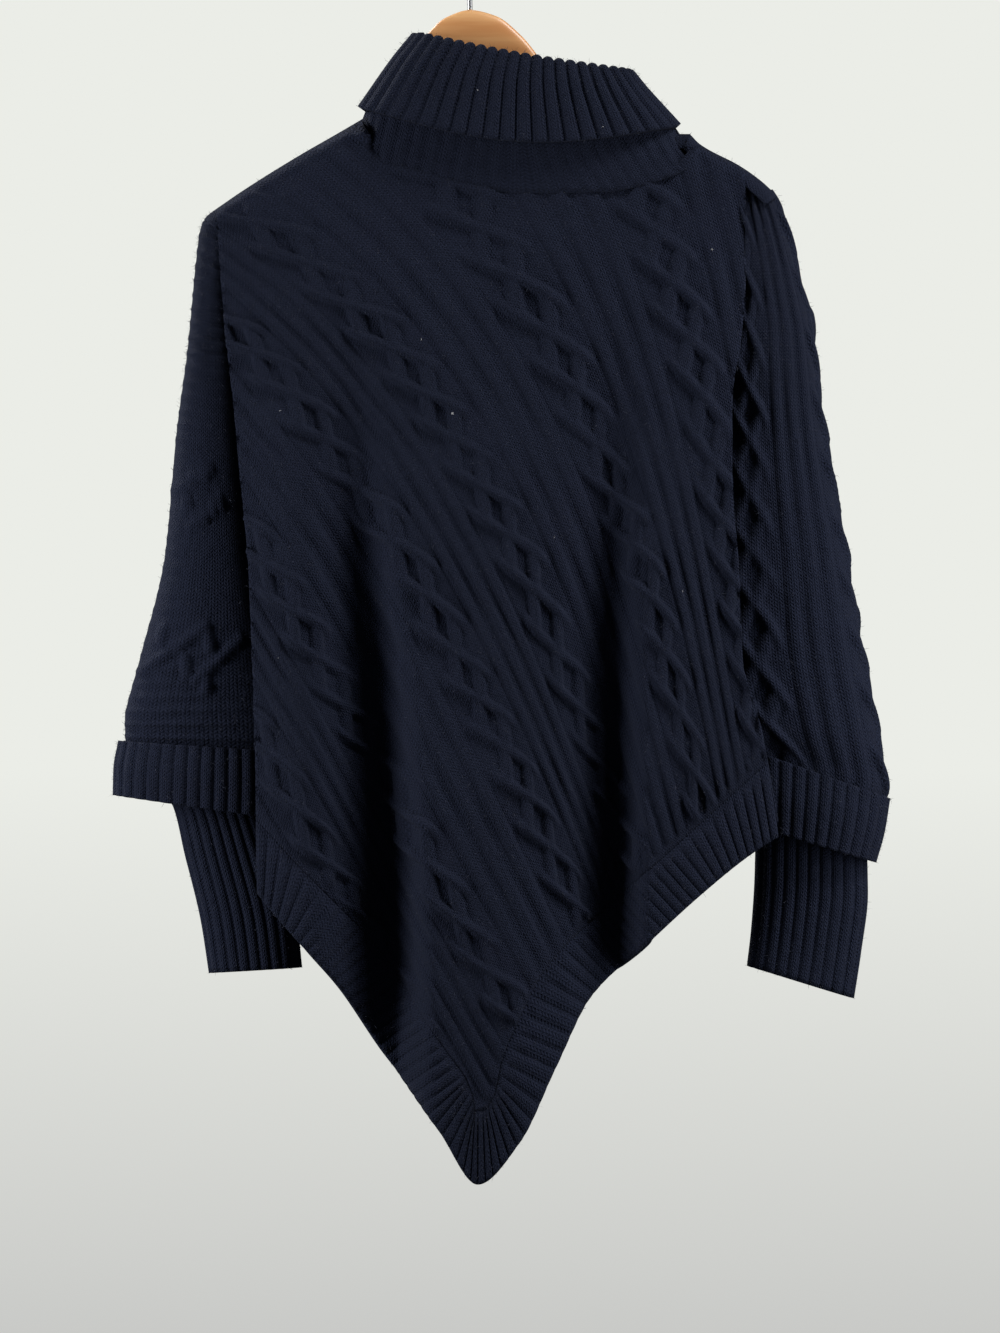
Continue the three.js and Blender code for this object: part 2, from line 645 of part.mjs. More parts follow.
// A ribbed strip along one side of the hem
function hemStrip(side, skin, raise) {
  const first = hemCross(side, 0, raise).low;
  const last = hemCross(side, 1, raise).low;
  const ribs = Math.round(Math.hypot(last.x - first.x, last.h - first.h) / HEM_RIB);
  const places = (row, column) => {
    const { low, top } = hemCross(side, column / (2 * ribs), raise);
    return skin(mix(top.x, low.x, row), mix(top.h, low.h, row));
  };
  return clothWall({
    rows: 1,
    columns: 2 * ribs,
    skin: places,
    relief: (row, column) => (column % 2 ? EDGE_RIB_RELIEF : 0),
    sameSplit: side === "right" && raise > 0,
  });
}

// A point on a flattened round section, and its wall's inner point
function sectionSkin(row, turn, square = 2.4) {
  const bent = (value) => Math.sign(value) * Math.abs(value) ** (2 / square);
  const across = bent(Math.cos(turn));
  const deep = bent(Math.sin(turn));
  const at = (wall) => {
    const half = Math.hypot(row.outX - row.inX, row.outH - row.inH) / 2;
    const shrink = (across * (half - wall)) / half;
    const x = mix(row.inX, row.outX, (1 + shrink) / 2);
    const h = mix(row.inH, row.outH, (1 + shrink) / 2);
    const y = deep > 0 ? -deep * (row.front - wall) : -deep * (row.back - wall);
    return place(x, y, h);
  };
  return { outer: at(0), inner: at(WALL) };
}

// A table's row at a share of its length
function rowAt(table, share) {
  const keyed = table.map((row, i) => ({ i, ...row }));
  const row = {};
  Object.keys(table[0]).forEach((name) => {
    row[name] = read(keyed, "i", name, share * (table.length - 1));
  });
  return row;
}

// The share of a sleeve's table at a distance down its middle
function shareAt(table, down) {
  const middle = table.map((row, i) => ({ share: i / (table.length - 1), h: (row.inH + row.outH) / 2 }));
  return read(middle, "h", "share", down);
}

function armholeCut(table, geometry) {
  const edge = read(table, "inH", "inX", (ARMHOLE.top + ARMHOLE.low) / 2);
  const toward = Math.sign(edge);
  const height = ARMHOLE.low - ARMHOLE.top;
  const opening = new THREE.BoxGeometry(2 * ARMHOLE.depth, ARMHOLE.front + ARMHOLE.back, height);
  opening.translate(edge, (ARMHOLE.back - ARMHOLE.front) / 2, -(ARMHOLE.top + ARMHOLE.low) / 2);
  opening.translate(-toward * 2, 0, 0);
  opening.deleteAttribute("normal");
  opening.deleteAttribute("uv");
  const cutter = solidOf(mergeVertices(opening, 1e-4));
  return geometryOf(solidOf(geometry).subtract(cutter).simplify(TRIM_TOLERANCE));
}

// The left sleeve: its wales run round it, so each knit line is a ring
function sleeveLeft() {
  const around = 16;
  const top = (SLEEVE_LEFT[0].inH + SLEEVE_LEFT[0].outH) / 2;
  const last = SLEEVE_LEFT[SLEEVE_LEFT.length - 1];
  const low = (last.inH + last.outH) / 2;
  const lines = knitLines(5).filter((line) => (line.at - 0.6) * KNIT_COLUMN < low - top);
  const rings = lines.length - 1 - ((lines.length - 1) % 2);
  const spread = (low - top) / (lines[rings].at - lines[0].at);
  const places = (row, column) => {
    const down = top + (lines[row].at - lines[0].at) * spread;
    return sectionSkin(rowAt(SLEEVE_LEFT, shareAt(SLEEVE_LEFT, down)), (2 * Math.PI * column) / around);
  };
  const geometry = clothWall({
    rows: rings,
    columns: around,
    skin: places,
    relief: (row, column) => knitRelief(lines[row].kind, column) * SLEEVE_RELIEF,
    round: true,
    fineRows: true,
  });
  return armholeCut(SLEEVE_LEFT, geometry);
}

// The right sleeve: its wales run down it, so each knit line is a column
function sleeveRight() {
  const lines = knitLines(3);
  const columns = lines.length - 1;
  const down = 26;
  const places = (row, column) => {
    const turn = (2 * Math.PI * (lines[column].at - lines[0].at)) / 3;
    return sectionSkin(rowAt(SLEEVE_RIGHT, row / down), turn);
  };
  const geometry = clothWall({
    rows: down,
    columns,
    skin: places,
    relief: (row, column) => knitRelief(lines[column % columns].kind, row) * SLEEVE_RELIEF,
    round: true,
    fineRows: true,
  });
  return armholeCut(SLEEVE_RIGHT, geometry);
}

// A ribbed tube through a table's sections
function ribbedTube(table, ribs) {
  return clothWall({
    rows: table.length - 1,
    columns: 2 * ribs,
    skin: (row, column) => sectionSkin(table[row], (Math.PI * column) / ribs),
    relief: (row, column) => (column % 2 ? EDGE_RIB_RELIEF : 0),
    round: true,
  });
}

// A point of the collar's middle surface
function collarPoint(row, turn) {
  const bent = (value) => Math.sign(value) * Math.abs(value) ** (2 / COLLAR_SQUARE);
  const across = (1 + bent(Math.cos(turn))) / 2;
  const deep = bent(Math.sin(turn));
  const x = mix(row.left, row.right, across);
  const y = deep > 0 ? -deep * row.front : -deep * row.back;
  const level = mix(row.leftH, row.rightH, across);
  if (row === COLLAR[0]) return place(x, y, (deep > 0 ? read(NECK, "x", "h", x) : backNeckLine(x)) - NECK_LIFT);
  return place(x, y, level + row.dip * Math.sin(Math.PI * across));
}

// The collar: one ribbed tube, folded over at the top
function collar() {
  const skin = (row, column) => {
    const turn = (Math.PI * column) / COLLAR_RIBS;
    const before = collarPoint(COLLAR[Math.max(row - 1, 0)], turn);
    const after = collarPoint(COLLAR[Math.min(row + 1, COLLAR.length - 1)], turn);
    const aside = collarPoint(COLLAR[row], turn + 0.02).sub(collarPoint(COLLAR[row], turn - 0.02));
    const out = after.sub(before).cross(aside).normalize();
    const middle = collarPoint(COLLAR[row], turn);
    return {
      outer: middle.clone().addScaledVector(out, WALL / 2),
      inner: middle.clone().addScaledVector(out, -WALL / 2),
    };
  };
  return clothWall({
    rows: COLLAR.length - 1,
    columns: 2 * COLLAR_RIBS,
    skin,
    relief: (row, column) => (column % 2 ? EDGE_RIB_RELIEF : 0),
    round: true,
  });
}

// The strip over one arm of the hanger, which joins front and back
function shoulderStrip(table, reach) {
  const rows = Math.max(2, Math.round(Math.abs(reach.to - reach.from) / STRIP_STEP));
  const around = 8;
  const skin = (row, column) => {
    const x = mix(reach.from, reach.to, row / rows);
    const h = read(table, "x", "h", x);
    const slope = (read(table, "x", "h", x + 1) - read(table, "x", "h", x - 1)) / 2;
    const down = new THREE.Vector2(-slope, 1).normalize();
    const turn = Math.PI * (column / around - 0.5);
    const arch = (wall) => {
      const drop = wall + (STRIP_HEIGHT - wall) * (1 - Math.cos(turn));
      return place(x + down.x * drop, Math.sin(turn) * (STRIP_HALF - wall), h + down.y * drop);
    };
    return { outer: arch(0), inner: arch(WALL) };
  };
  return clothWall({ rows, columns: around, skin, relief: () => 0 });
}

function hangerWood() {
  const upper = HANGER.map((row) => new THREE.Vector2(row.x, -row.top));
  const lower = HANGER.map((row) => new THREE.Vector2(row.x, -row.low)).reverse();
  const geometry = new THREE.ExtrudeGeometry(new THREE.Shape([...upper, ...lower]), {
    depth: HANGER_THICK - 2 * HANGER_BEVEL,
    bevelThickness: HANGER_BEVEL,
    bevelSize: HANGER_BEVEL,
    bevelOffset: -HANGER_BEVEL,
    bevelSegments: 1,
  });
  return geometry.rotateX(Math.PI / 2).translate(0, HANGER_THICK / 2 - HANGER_BEVEL, 0);
}

// The wire hook: a stem that bends into three quarters of a circle round the rail
function hangerHook() {
  const middle = HOOK_RADIUS - HOOK_WIRE;
  const points = [place(STEM_X, 0, CROWN_H - SEAM), place(STEM_X, 0, 52), place(STEM_X * 0.6, 0, 44)];
  for (let turn = 270; turn >= -20; turn -= 29) {
    const angle = THREE.MathUtils.degToRad(turn === 270 ? 262 : turn);
    points.push(place(HOOK_RADIUS * Math.cos(angle), 0, middle - HOOK_RADIUS * Math.sin(angle)));
  }
  const path = new THREE.CatmullRomCurve3(points);
  const corners = Array.from({ length: 8 }, (_, i) => (Math.PI * i) / 4);
  const ring = corners.map((turn) => new THREE.Vector2(HOOK_WIRE * Math.cos(turn), HOOK_WIRE * Math.sin(turn)));
  const wire = new THREE.Shape(ring);
  return new THREE.ExtrudeGeometry(wire, { steps: 22, extrudePath: path, bevelEnabled: false });
}

function material(colour, roughness, metalness) {
  return new THREE.MeshStandardMaterial({ color: colour, roughness, metalness });
}

function piece(name, geometry, look) {
  const mesh = new THREE.Mesh(geometry, look);
  mesh.name = name;
  return mesh;
}

const yarn = () => material(YARN, 0.95, 0);
const backCentre = (BODY_SIDES[5].left + BODY_SIDES[5].right) / 2;

const sweater = new THREE.Group();
sweater.add(piece("body_front", bodyPanel({ skin: frontSkin, outline: panelOutline(frontNeck(), 0) }), yarn()));
sweater.add(
  piece(
    "body_back",
    bodyPanel({ skin: backSkin, mirror: backCentre, outline: panelOutline(backNeck(), BACK_HEM_RAISE) }),
    yarn(),
  ),
);
sweater.add(piece("sleeve_left", sleeveLeft(), yarn()));
sweater.add(piece("sleeve_right", sleeveRight(), yarn()));
sweater.add(piece("band_left", ribbedTube(BAND_LEFT, 32), yarn()));
sweater.add(piece("band_right", ribbedTube(BAND_RIGHT, 29), yarn()));
sweater.add(piece("cuff_left", ribbedTube(CUFF_LEFT, 21), yarn()));
sweater.add(piece("cuff_right", ribbedTube(CUFF_RIGHT, 22), yarn()));
sweater.add(piece("collar", collar(), yarn()));
sweater.add(piece("shoulder_left", shoulderStrip(SHOULDER_LEFT, STRIP_LEFT), yarn()));
sweater.add(piece("shoulder_right", shoulderStrip(SHOULDER_RIGHT, STRIP_RIGHT), yarn()));
["left", "right"].forEach((side) => {
  sweater.add(piece(`hem_front_${side}`, hemStrip(side, frontSkin, 0), yarn()));
  sweater.add(piece(`hem_back_${side}`, hemStrip(side, backSkin, BACK_HEM_RAISE), yarn()));
});
sweater.add(piece("hanger_wood", hangerWood(), material(WOOD, 0.45, 0)));
sweater.add(piece("hanger_hook", hangerHook(), material(STEEL, 0.3, 1)));

export default sweater;
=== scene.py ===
# Looks of a knitted poncho sweater hanging on a wooden hanger.
# Points are in metres. Tables and named lengths are in millimetres, with h the distance down from the hook.
import math

import bpy
import numpy as np
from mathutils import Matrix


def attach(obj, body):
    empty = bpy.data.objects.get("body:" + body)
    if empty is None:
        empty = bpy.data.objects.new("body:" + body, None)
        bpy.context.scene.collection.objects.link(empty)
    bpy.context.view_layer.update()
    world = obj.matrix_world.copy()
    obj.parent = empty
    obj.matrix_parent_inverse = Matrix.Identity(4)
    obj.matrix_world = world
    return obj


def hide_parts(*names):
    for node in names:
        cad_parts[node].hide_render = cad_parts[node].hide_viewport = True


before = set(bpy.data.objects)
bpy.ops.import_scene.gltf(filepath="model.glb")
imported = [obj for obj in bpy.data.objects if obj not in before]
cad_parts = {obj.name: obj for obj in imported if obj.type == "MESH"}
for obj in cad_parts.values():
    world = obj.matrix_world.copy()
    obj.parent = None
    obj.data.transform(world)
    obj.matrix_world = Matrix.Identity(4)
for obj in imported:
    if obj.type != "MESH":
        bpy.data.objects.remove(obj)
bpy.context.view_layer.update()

MM = 0.001
TURN = 2 * math.pi

# Cloth: its wall, how its inner face lies within it, and how its relief fades towards the seams
WALL = 3.0
INNER_WALL = WALL * 0.8
SEAM_FADE = 8.0
SEAM_SLOPE = 0.75
SEAM_STEP = 0.3
RIDGE_FADE = 14.0

# Photograph: millimetres of the garment's plane that its frame shows, and where its middle lies
FRAME_HEIGHT = 1033.1
FRAME_MIDDLE_X = 19.4
FRAME_MIDDLE_H = 570.8
CAMERA_AWAY = 9000.0

# Knit: one column is a cable and three ribs. CABLE_HALF, RIB_PLACES and RIB_HALF are shares of its width.
COLUMN = 100.0
CABLE_HALF = 0.245
CABLE_RELIEF = 4.7
TWIST_PITCH = 45.0
TWIST_MIDDLE = 15.0
TWIST_SLOPE = 0.7
TWIST_REACH = 20.0
TWIST_TURN = 5.0
OVER_HALF = 4.9
DIVE_START = 24.0
DIVE_END = 38.0
UNDER_HALF = 3.5
UNDER_SHARE = 0.72
UNDER_PLACE = 7.0
UNDER_DRIFT = 13.9
UNDER_SQUARE = 0.88
RIB_PLACES = (0.325, 0.5, 0.675)
RIB_HALF = 0.062
RIB_SHAPE = 2.6
CABLE_EDGE = 8
STRAND_SHAPE = 0.6
RIB_RELIEF = 1.5
PURL_DIP = 0.4
SLEEVE_RELIEF = 0.85
SLEEVE_ROW = 11.0
STRAND_RELIEF = 3.8
EDGE_KNIT = 0.15
EDGE_SHAPE = 0.7
SLEEVE_CABLES = 3
CABLE_LINES = 34
RIB_LINES = 32
ALONG_STEP = 2.32
STITCH_WIDE = 3.4
STITCH_HIGH = 2.8

# Slow waves along each column, as in worn knitwear: their sizes, and pairs of length and shift by column
HEIGHT_WAVER = 0.35
HEIGHT_WAVE = (19, 1.9)
HEIGHT_SWELL = (43, 0.7)
PITCH_WAVER = 5.5
PITCH_WAVE = (58, 2.3)
PITCH_RIPPLE = (17, 1.1)
SIDE_WAVER = 1.3
SIDE_WAVE = (29, 1.7)

# Ribbed edges: grid lines to a rib, and the ribs' height and roundness
RIB_COLUMNS = 10
EDGE_RIB = 1.9
WAVE_SHAPE = 2.4

# Hem
HEM_WIDTH = 42.0
HEM_END_WIDTH = 58.0
HEM_END_H = {"left": 745.0, "right": 702.0}
HEM_RIB = 9.0
HEM_GAP = -1.0
HEM_ROWS = 19
HEM_STEPS = 40
HEM_EDGE_RIB = 0.3
HEM_RIB_RISE = (0.02, 0.22)
TIP_X = 2.3
BACK_HEM_RAISE = 12.0

# Collar and neck
COLLAR_RIBS = 46
COLLAR_ROWS = 85
COLLAR_SEAM_WALL = 0.1
COLLAR_RIB = 2.7
COLLAR_SQUARE = 2.8
SEAM_SQUARE = 3.5
COLLAR_FADE = 9.0
RIB_PATH = 4.0
NECK_TUCK = 3.0
NECK_DROP = 3.0
NECK_LAP = 6.0
LAP_REACH = 30.0
NECK_BACK_DIP = 14.0
NECK_BACK_SHAPE = 0.6
CORNER_TUCK = 5.0
CORNER_REACH = 20.0

# Shoulder strips, and the panels that lie on them and turn forward at the sides
STRIP_HALF = 18.0
STRIP_HEIGHT = 12.0
STRIP_WIDE = 50.0
STRIP_COLUMNS = 27
PANEL_TOP = 1.6
PANEL_PROUD = 1.2
TOP_RISE = 0.42
SIDE_TURN = 32.0
SHEET_GAP = 2.2

# Hanger
STEM_X = -3.9
CROWN_H = 62.0
HANGER_THICK = 13.0
HANGER_SHAPE = 0.5
HANGER_ROWS = 150
HANGER_COLUMNS = 28
HOOK_WIRE = 2.0
HOOK_RADIUS = 19.0
HOOK_STEM = ((STEM_X, CROWN_H), (STEM_X, 52.0), (STEM_X * 0.6, 44.0))
HOOK_BEND = [262, *range(241, -21, -29)]
HOOK_ROWS = 110
HOOK_COLUMNS = 16


# A table of named columns, from its names and rows
def table(names, rows):
    return {name: np.array(values, float) for name, values in zip(names.split(), zip(*rows))}


def rows_of(source):
    return zip(*source.values())


# Side edges of the body, from the shoulder down
BODY_SIDES = table("h left right", [
    (200, -200.3, 209.2),
    (257, -197.6, 209.6),
    (314, -192.5, 206.4),
    (364, -186.8, 198.8),
    (426, -181, 198.6),
    (488, -174.4, 203),
    (566, -171.4, 206.2),
    (624, -169.5, 222),
    (680, -168.3, 230.2),
    (702, -168, 234),
    (1000, -167, 240),
])

# Shoulder lines, from the hanger's ends to the neck
SHOULDER_LEFT = table("x h", [
    (-214, 229), (-207.7, 221.7), (-196.1, 213.1), (-174.4, 198.4), (-135.6, 174.4), (-104.6, 156.6),
    (-84, 144.5),
])
SHOULDER_RIGHT = table("x h", [
    (166.6, 158.1), (174.4, 166), (205.4, 182.9), (220.9, 193.8), (232.5, 204.6), (240, 214),
])
STRIP_LEFT = (-74, -210)
STRIP_RIGHT = (154, 234)

# Body panels: where their sides, top edges and neck edges begin and end, where the sides stop above the
# hem's corners, and the height at whose middle the back's knit is the front's mirrored
PANEL_SIDES = (-200.0, 209.0)
PANEL_TOP_LEFT = (-88, -196)
PANEL_TOP_RIGHT = (205, 175)
NECK_FRONT = (166, -78)
NECK_BACK = (160, -72)
SIDE_TUCK = 4.0
MIRROR_H = 488.0

# Neck seam on the shown side
NECK = table("x h", [
    (-86, 147), (-78.3, 173), (-35.7, 189), (2.3, 199.2), (40.3, 202.3), (98.4, 201.5), (136.4, 194.5),
    (166.6, 178), (173, 166),
])
NECK_CORNERS = (-82.5, 171)

# Hem edge on the shown side, pointed in the middle
HEM = table("x h", [
    (-175, 736), (-165.1, 748.6), (-137.2, 781.2), (-104.6, 816.9), (-69.8, 869.6), (-27.1, 928.5),
    (TIP_X, 968.8), (34.9, 936.2), (62, 880.4), (89.1, 826.1), (127.9, 789), (174.4, 746.3),
    (210.8, 716.9), (234, 702), (245, 697),
])

# Folds of the front: where each crest and trough runs, and how far it stands forward
FOLDS = "left bulge trough lip middle slope hollow flap right"
FOLD_PLACE = table("h " + FOLDS, [
    (150, -204, -159, -97, -66, 4, 66, 112, 143, 209),
    (290, -196, -155, -101, -70, 4, 66, 108, 140, 209),
    (390, -183, -151, -93, -64, 4, 64, 106, 136, 199),
    (490, -175, -145, -85, -57, 5, 63, 106, 134, 203),
    (590, -170, -140, -72, -42, 10, 64, 109, 134, 216),
    (675, -168, -136, -67, -37, 13, 66, 111, 134, 231),
    (775, -168, -132, -63, -32, 15, 66, 109, 136, 240),
    (915, -167, -120, -60, -30, 15, 66, 109, 138, 244),
])
FOLD_DEPTH = table("h " + FOLDS, [
    (150, 17, 20, 22, 25, 28, 28, 25, 23, 17),
    (230, 18, 26, 28, 31, 34, 33, 31, 28, 18),
    (310, 29, 37, 33, 37, 42, 40, 35, 37, 29),
    (390, 41, 50, 36, 46, 50, 45, 37, 46, 41),
    (490, 50, 60, 33, 57, 60, 50, 35, 56, 47),
    (590, 56, 66, 30, 66, 68, 54, 32, 63, 54),
    (675, 60, 70, 28, 72, 75, 56, 30, 67, 57),
    (775, 62, 72, 28, 76, 79, 58, 31, 68, 57),
    (915, 62, 70, 32, 78, 81, 60, 36, 66, 56),
])

# Back: how far it stands behind the hanger's plane, its soft waves, and its turns forward at the sides
BACK_DEPTH = table("h depth wave", [
    (150, 17, 0), (230, 19, 1), (330, 25, 3), (490, 33, 6), (675, 37, 9), (960, 36, 11),
])
BACK_WAVE_LENGTH = 118.0
BACK_WAVE_PHASE = 30.0
BACK_WAVE_LEAN = 0.12
BACK_TURN = table("h left right", [
    (285, -192, 205), (330, -187, 203), (387, -166, 185), (488, -157, 183), (558, -149, 188),
    (608, -141, 193), (640, -134, 195), (690, -133, 198), (765, -130, 207), (804, -125, 204),
])
UNDERARM = (285.0, 328.0)

# Wales of the body: a point of each cable column, and its slope above, at and below that point
WALES = table("x h above at below", [
    (268, 336, 72, 84, 86),
    (172.8, 351.9, 58, 78, 80),
    (87.6, 379.8, 42, 67, 78),
    (0.8, 421.6, 28, 61, 70),
    (-69, 461.9, 36, 58, 66),
    (-149.6, 512.3, 50, 60, 61),
    (-208.5, 546.4, 56, 61, 61),
    (-282.1, 589, 58, 60, 60),
])
WALE_SPAN = 300.0
WALE_BEND = (-1.35, 1)
WALES_UP = 450.0
WALES_DOWN = 510.0

# Sleeves: the inner and outer edge of each section, and its depth before and behind the hanger
SECTION = "inX inH outX outH front back"
SLEEVE_LEFT = table(SECTION, [
    (-180, 225, -203, 219, 13, 13),
    (-180, 241, -212, 229.5, 16, 15),
    (-190, 263.5, -216.2, 257.3, 18, 18),
    (-187, 313.9, -220.9, 307.7, 20, 20),
    (-184.5, 335, -223.5, 332, 21, 21),
    (-180, 387.5, -231, 387.5, 24, 23),
    (-170, 488.3, -240.3, 485.2, 28, 25),
    (-157.3, 558, -258.9, 561.9, 32, 26),
    (-149.6, 608.4, -271.3, 610.7, 31, 26),
    (-148.5, 629.3, -271, 626.2, 28, 23),
    (-151.4, 647.1, -267.6, 643.3, 26, 21),
    (-151.4, 666.5, -267.6, 663.4, 26, 21),
])
# Strands that cross on the front of the left sleeve
SLEEVE_STRANDS = table("x h endX endH", [
    (-231.9, 435.3, -205.4, 419.1), (-219.5, 462.5, -197, 445), (-258.3, 574.8, -207.9, 540),
    (-215.7, 581.3, -181.5, 550.3), (-241.8, 544.1, -241.8, 551.1), (-224, 566.8, -222.4, 575.8),
    (-206.1, 547.9, -204.6, 557.7), (-207.7, 581.7, -207.7, 589), (-222.4, 439.4, -222.4, 447.2),
])
SLEEVE_RIGHT = table(SECTION, [
    (192, 196, 228, 203, 12, 12),
    (192, 226.4, 235.5, 216.9, 16, 15),
    (192, 257.3, 246.5, 252.7, 20, 18),
    (191, 310, 260.4, 310, 25, 20),
    (189, 335, 263.5, 335, 27, 21),
    (187, 387.5, 269.7, 387.5, 25, 23),
    (183, 488.3, 287.5, 485.2, 28, 25),
    (181, 558, 299.2, 558, 30, 26),
    (189, 608.4, 312.3, 626.2, 31, 26),
    (202, 629.3, 317, 662.6, 27, 22),
    (213.1, 652.5, 307.7, 685.9, 26, 21),
    (214.7, 671.1, 304.6, 703.7, 26, 21),
])
BAND_LEFT = table(SECTION, [
    (-143.9, 637, -274.8, 628.5, 32.3, 27.3),
    (-142, 662, -278.5, 650, 36, 31),
    (-142.6, 689.8, -279, 670.4, 34, 29),
])
BAND_RIGHT = table(SECTION, [
    (203.8, 631.6, 320.1, 672.7, 33.5, 28.5),
    (204.6, 662, 316, 698, 36, 31),
    (206.9, 691.3, 309.3, 722.3, 34, 29),
])
CUFF_LEFT = table(SECTION, [
    (-151.4, 667.2, -267.6, 664.1, 26, 21),
    (-163, 684, -236, 673, 22, 17),
    (-152, 720, -222.4, 720, 19, 15),
    (-140, 765, -210.8, 768, 20, 16),
    (-135.6, 804, -204.6, 808, 22, 18),
])
CUFF_RIGHT = table(SECTION, [
    (214.7, 671.8, 304.6, 704.4, 26, 21),
    (219.4, 684, 302.4, 714, 21, 16),
    (218.6, 730, 303, 748, 20, 16),
    (216, 772, 298, 790, 20, 16),
    (212.5, 803, 292.2, 827.7, 22, 18),
])
ARMHOLE_TOP = 250.0
ARMHOLE_LOW = 300.0
ARMHOLE_DEPTH = 12.0
ARMHOLE_NEAR = 8.0
SLEEVE_ROWS = 221
SLEEVE_COLUMNS = 180
BAND_ROWS = 31
SECTION_SQUARE = 2.4

# Collar: from the neck seam up the stand, over the fold and down to the free edge
COLLAR = table("left leftH right rightH dip front back", [
    (-89, 149, 174, 168, 0, 30, 20),
    (-77, 124, 149, 148, 12, 32, 21),
    (-50, 92, 119, 118, 4, 28, 20),
    (-46, 83, 120, 112, 3, 33, 25),
    (-60, 100, 130, 124, 6, 41, 32),
    (-87.5, 139, 156.5, 153, 20, 45, 36),
])

# Upper and lower outline of the wooden hanger
HANGER = table("x top low", [
    (-206, 229, 232), (-201, 223.5, 236), (-174.4, 204, 224), (-135.6, 179.2, 203), (-104.6, 161.6, 186),
    (-84, 152.5, 174), (-64, 128, 160), (-50, 106, 148), (-38.8, 83, 138), (-22, 67.5, 127),
    (STEM_X, CROWN_H, 121), (16, 66.5, 121), (36, 82, 128), (59.7, 110.8, 142), (90, 135, 157),
    (130, 159, 179), (174.4, 174, 196), (205.4, 189, 211), (218, 200.5, 216), (226, 210.5, 215),
])


def mix(a, b, t):
    return a + (b - a) * t


def ease(low, high, value):
    t = np.clip((value - low) / (high - low), 0, 1)
    return t * t * (3 - 2 * t)


# A sine or cosine drawn out towards the corners
def squared(value, power):
    return np.sign(value) * np.abs(value) ** power


def unit(vectors):
    return vectors / np.maximum(np.linalg.norm(vectors, axis=-1, keepdims=True), 1e-12)


# Distance run along a line of points, from its start
def run_along(points):
    return np.concatenate([[0], np.cumsum(np.linalg.norm(np.diff(points, axis=0), axis=1))])


# Texture places of a grid, in metres
def grid_places(across, down, shape):
    return np.stack([np.broadcast_to(across, shape), np.broadcast_to(down, shape)], axis=-1)


# Cubic between two values that leaves and arrives with given slopes
def cubic(low, high, leave, arrive, width, t):
    bend = width * (t * (1 - t) * (1 - t) * leave + t * t * (t - 1) * arrive)
    return mix(low, high, (3 - 2 * t) * t * t) + bend


# Smooth curve through rows of keys and values, level at each crest and trough
def curve(keys, values, at):
    at = np.asarray(at, float)
    shape = at.shape
    at = at.ravel()
    keys = np.broadcast_to(keys.reshape(len(keys), -1), (len(keys), at.size))
    values = np.broadcast_to(values.reshape(len(values), -1), (len(values), at.size))
    at = np.clip(at, keys[0], keys[-1])
    slope = np.diff(values, axis=0) / np.diff(keys, axis=0)
    before = slope[:-1]
    after = slope[1:]
    total = before + after
    inner = np.where(before * after > 0, 2 * before * after / np.where(total == 0, 1, total), 0)
    tangent = np.concatenate([slope[:1], inner, slope[-1:]])
    step = np.clip((at[None] >= keys).sum(axis=0) - 1, 0, len(keys) - 2)
    pick = np.arange(at.size)
    width = keys[step + 1, pick] - keys[step, pick]
    t = (at - keys[step, pick]) / width
    ends = values[step, pick], values[step + 1, pick]
    return cubic(*ends, tangent[step, pick], tangent[step + 1, pick], width, t).reshape(shape)


def read(source, key, column, at):
    return curve(source[key], source[column], at)


def shoulder_line(x):
    left = read(SHOULDER_LEFT, "x", "h", x)
    return np.where(x < 0, left, read(SHOULDER_RIGHT, "x", "h", x))


def in_neck(x):
    return (x > NECK_CORNERS[0]) & (x < NECK_CORNERS[1])


# Height of the cloth's top edge at a place across the body
def top_line(x):
    inside = np.minimum(x - NECK_CORNERS[0], NECK_CORNERS[1] - x)
    neck = read(NECK, "x", "h", x) - NECK_TUCK - CORNER_TUCK * (1 - ease(0, CORNER_REACH, inside))
    return np.where(in_neck(x), neck, shoulder_line(x) + PANEL_TOP)


# How far the shoulder strip's arch reaches out at a height, with the panels lying on it
def arch_reach(x, h):
    drop = np.clip((h - shoulder_line(x)) / STRIP_HEIGHT, 0, 1)
    return PANEL_PROUD + STRIP_HALF * np.sqrt(1 - (1 - drop) ** 2)


# How far the collar's seam stands forward
def collar_reach(x):
    left = COLLAR["left"][0]
    right = COLLAR["right"][0]
    share = np.minimum(np.abs((2 * x - left - right) / (right - left)), 1)
    return COLLAR["front"][0] * (1 - share ** SEAM_SQUARE) ** (1 / SEAM_SQUARE)


# How far the front stands forward of the hanger's plane
def front_depth(x, h):
    names = FOLDS.split()
    flat_h = np.ravel(h)
    places = np.stack([read(FOLD_PLACE, "h", name, flat_h) for name in names])
    depths = np.stack([read(FOLD_DEPTH, "h", name, flat_h) for name in names])
    hung = curve(places, depths, np.ravel(x)).reshape(np.shape(x))
    seam = np.where(in_neck(x), top_line(x), shoulder_line(x) + STRIP_HEIGHT)
    under_collar = np.maximum(STRIP_HALF + PANEL_PROUD, collar_reach(x))
    at_top = np.where(in_neck(x), under_collar, arch_reach(x, h))
    return np.minimum(hung, at_top + TOP_RISE * np.maximum(h - seam, 0))


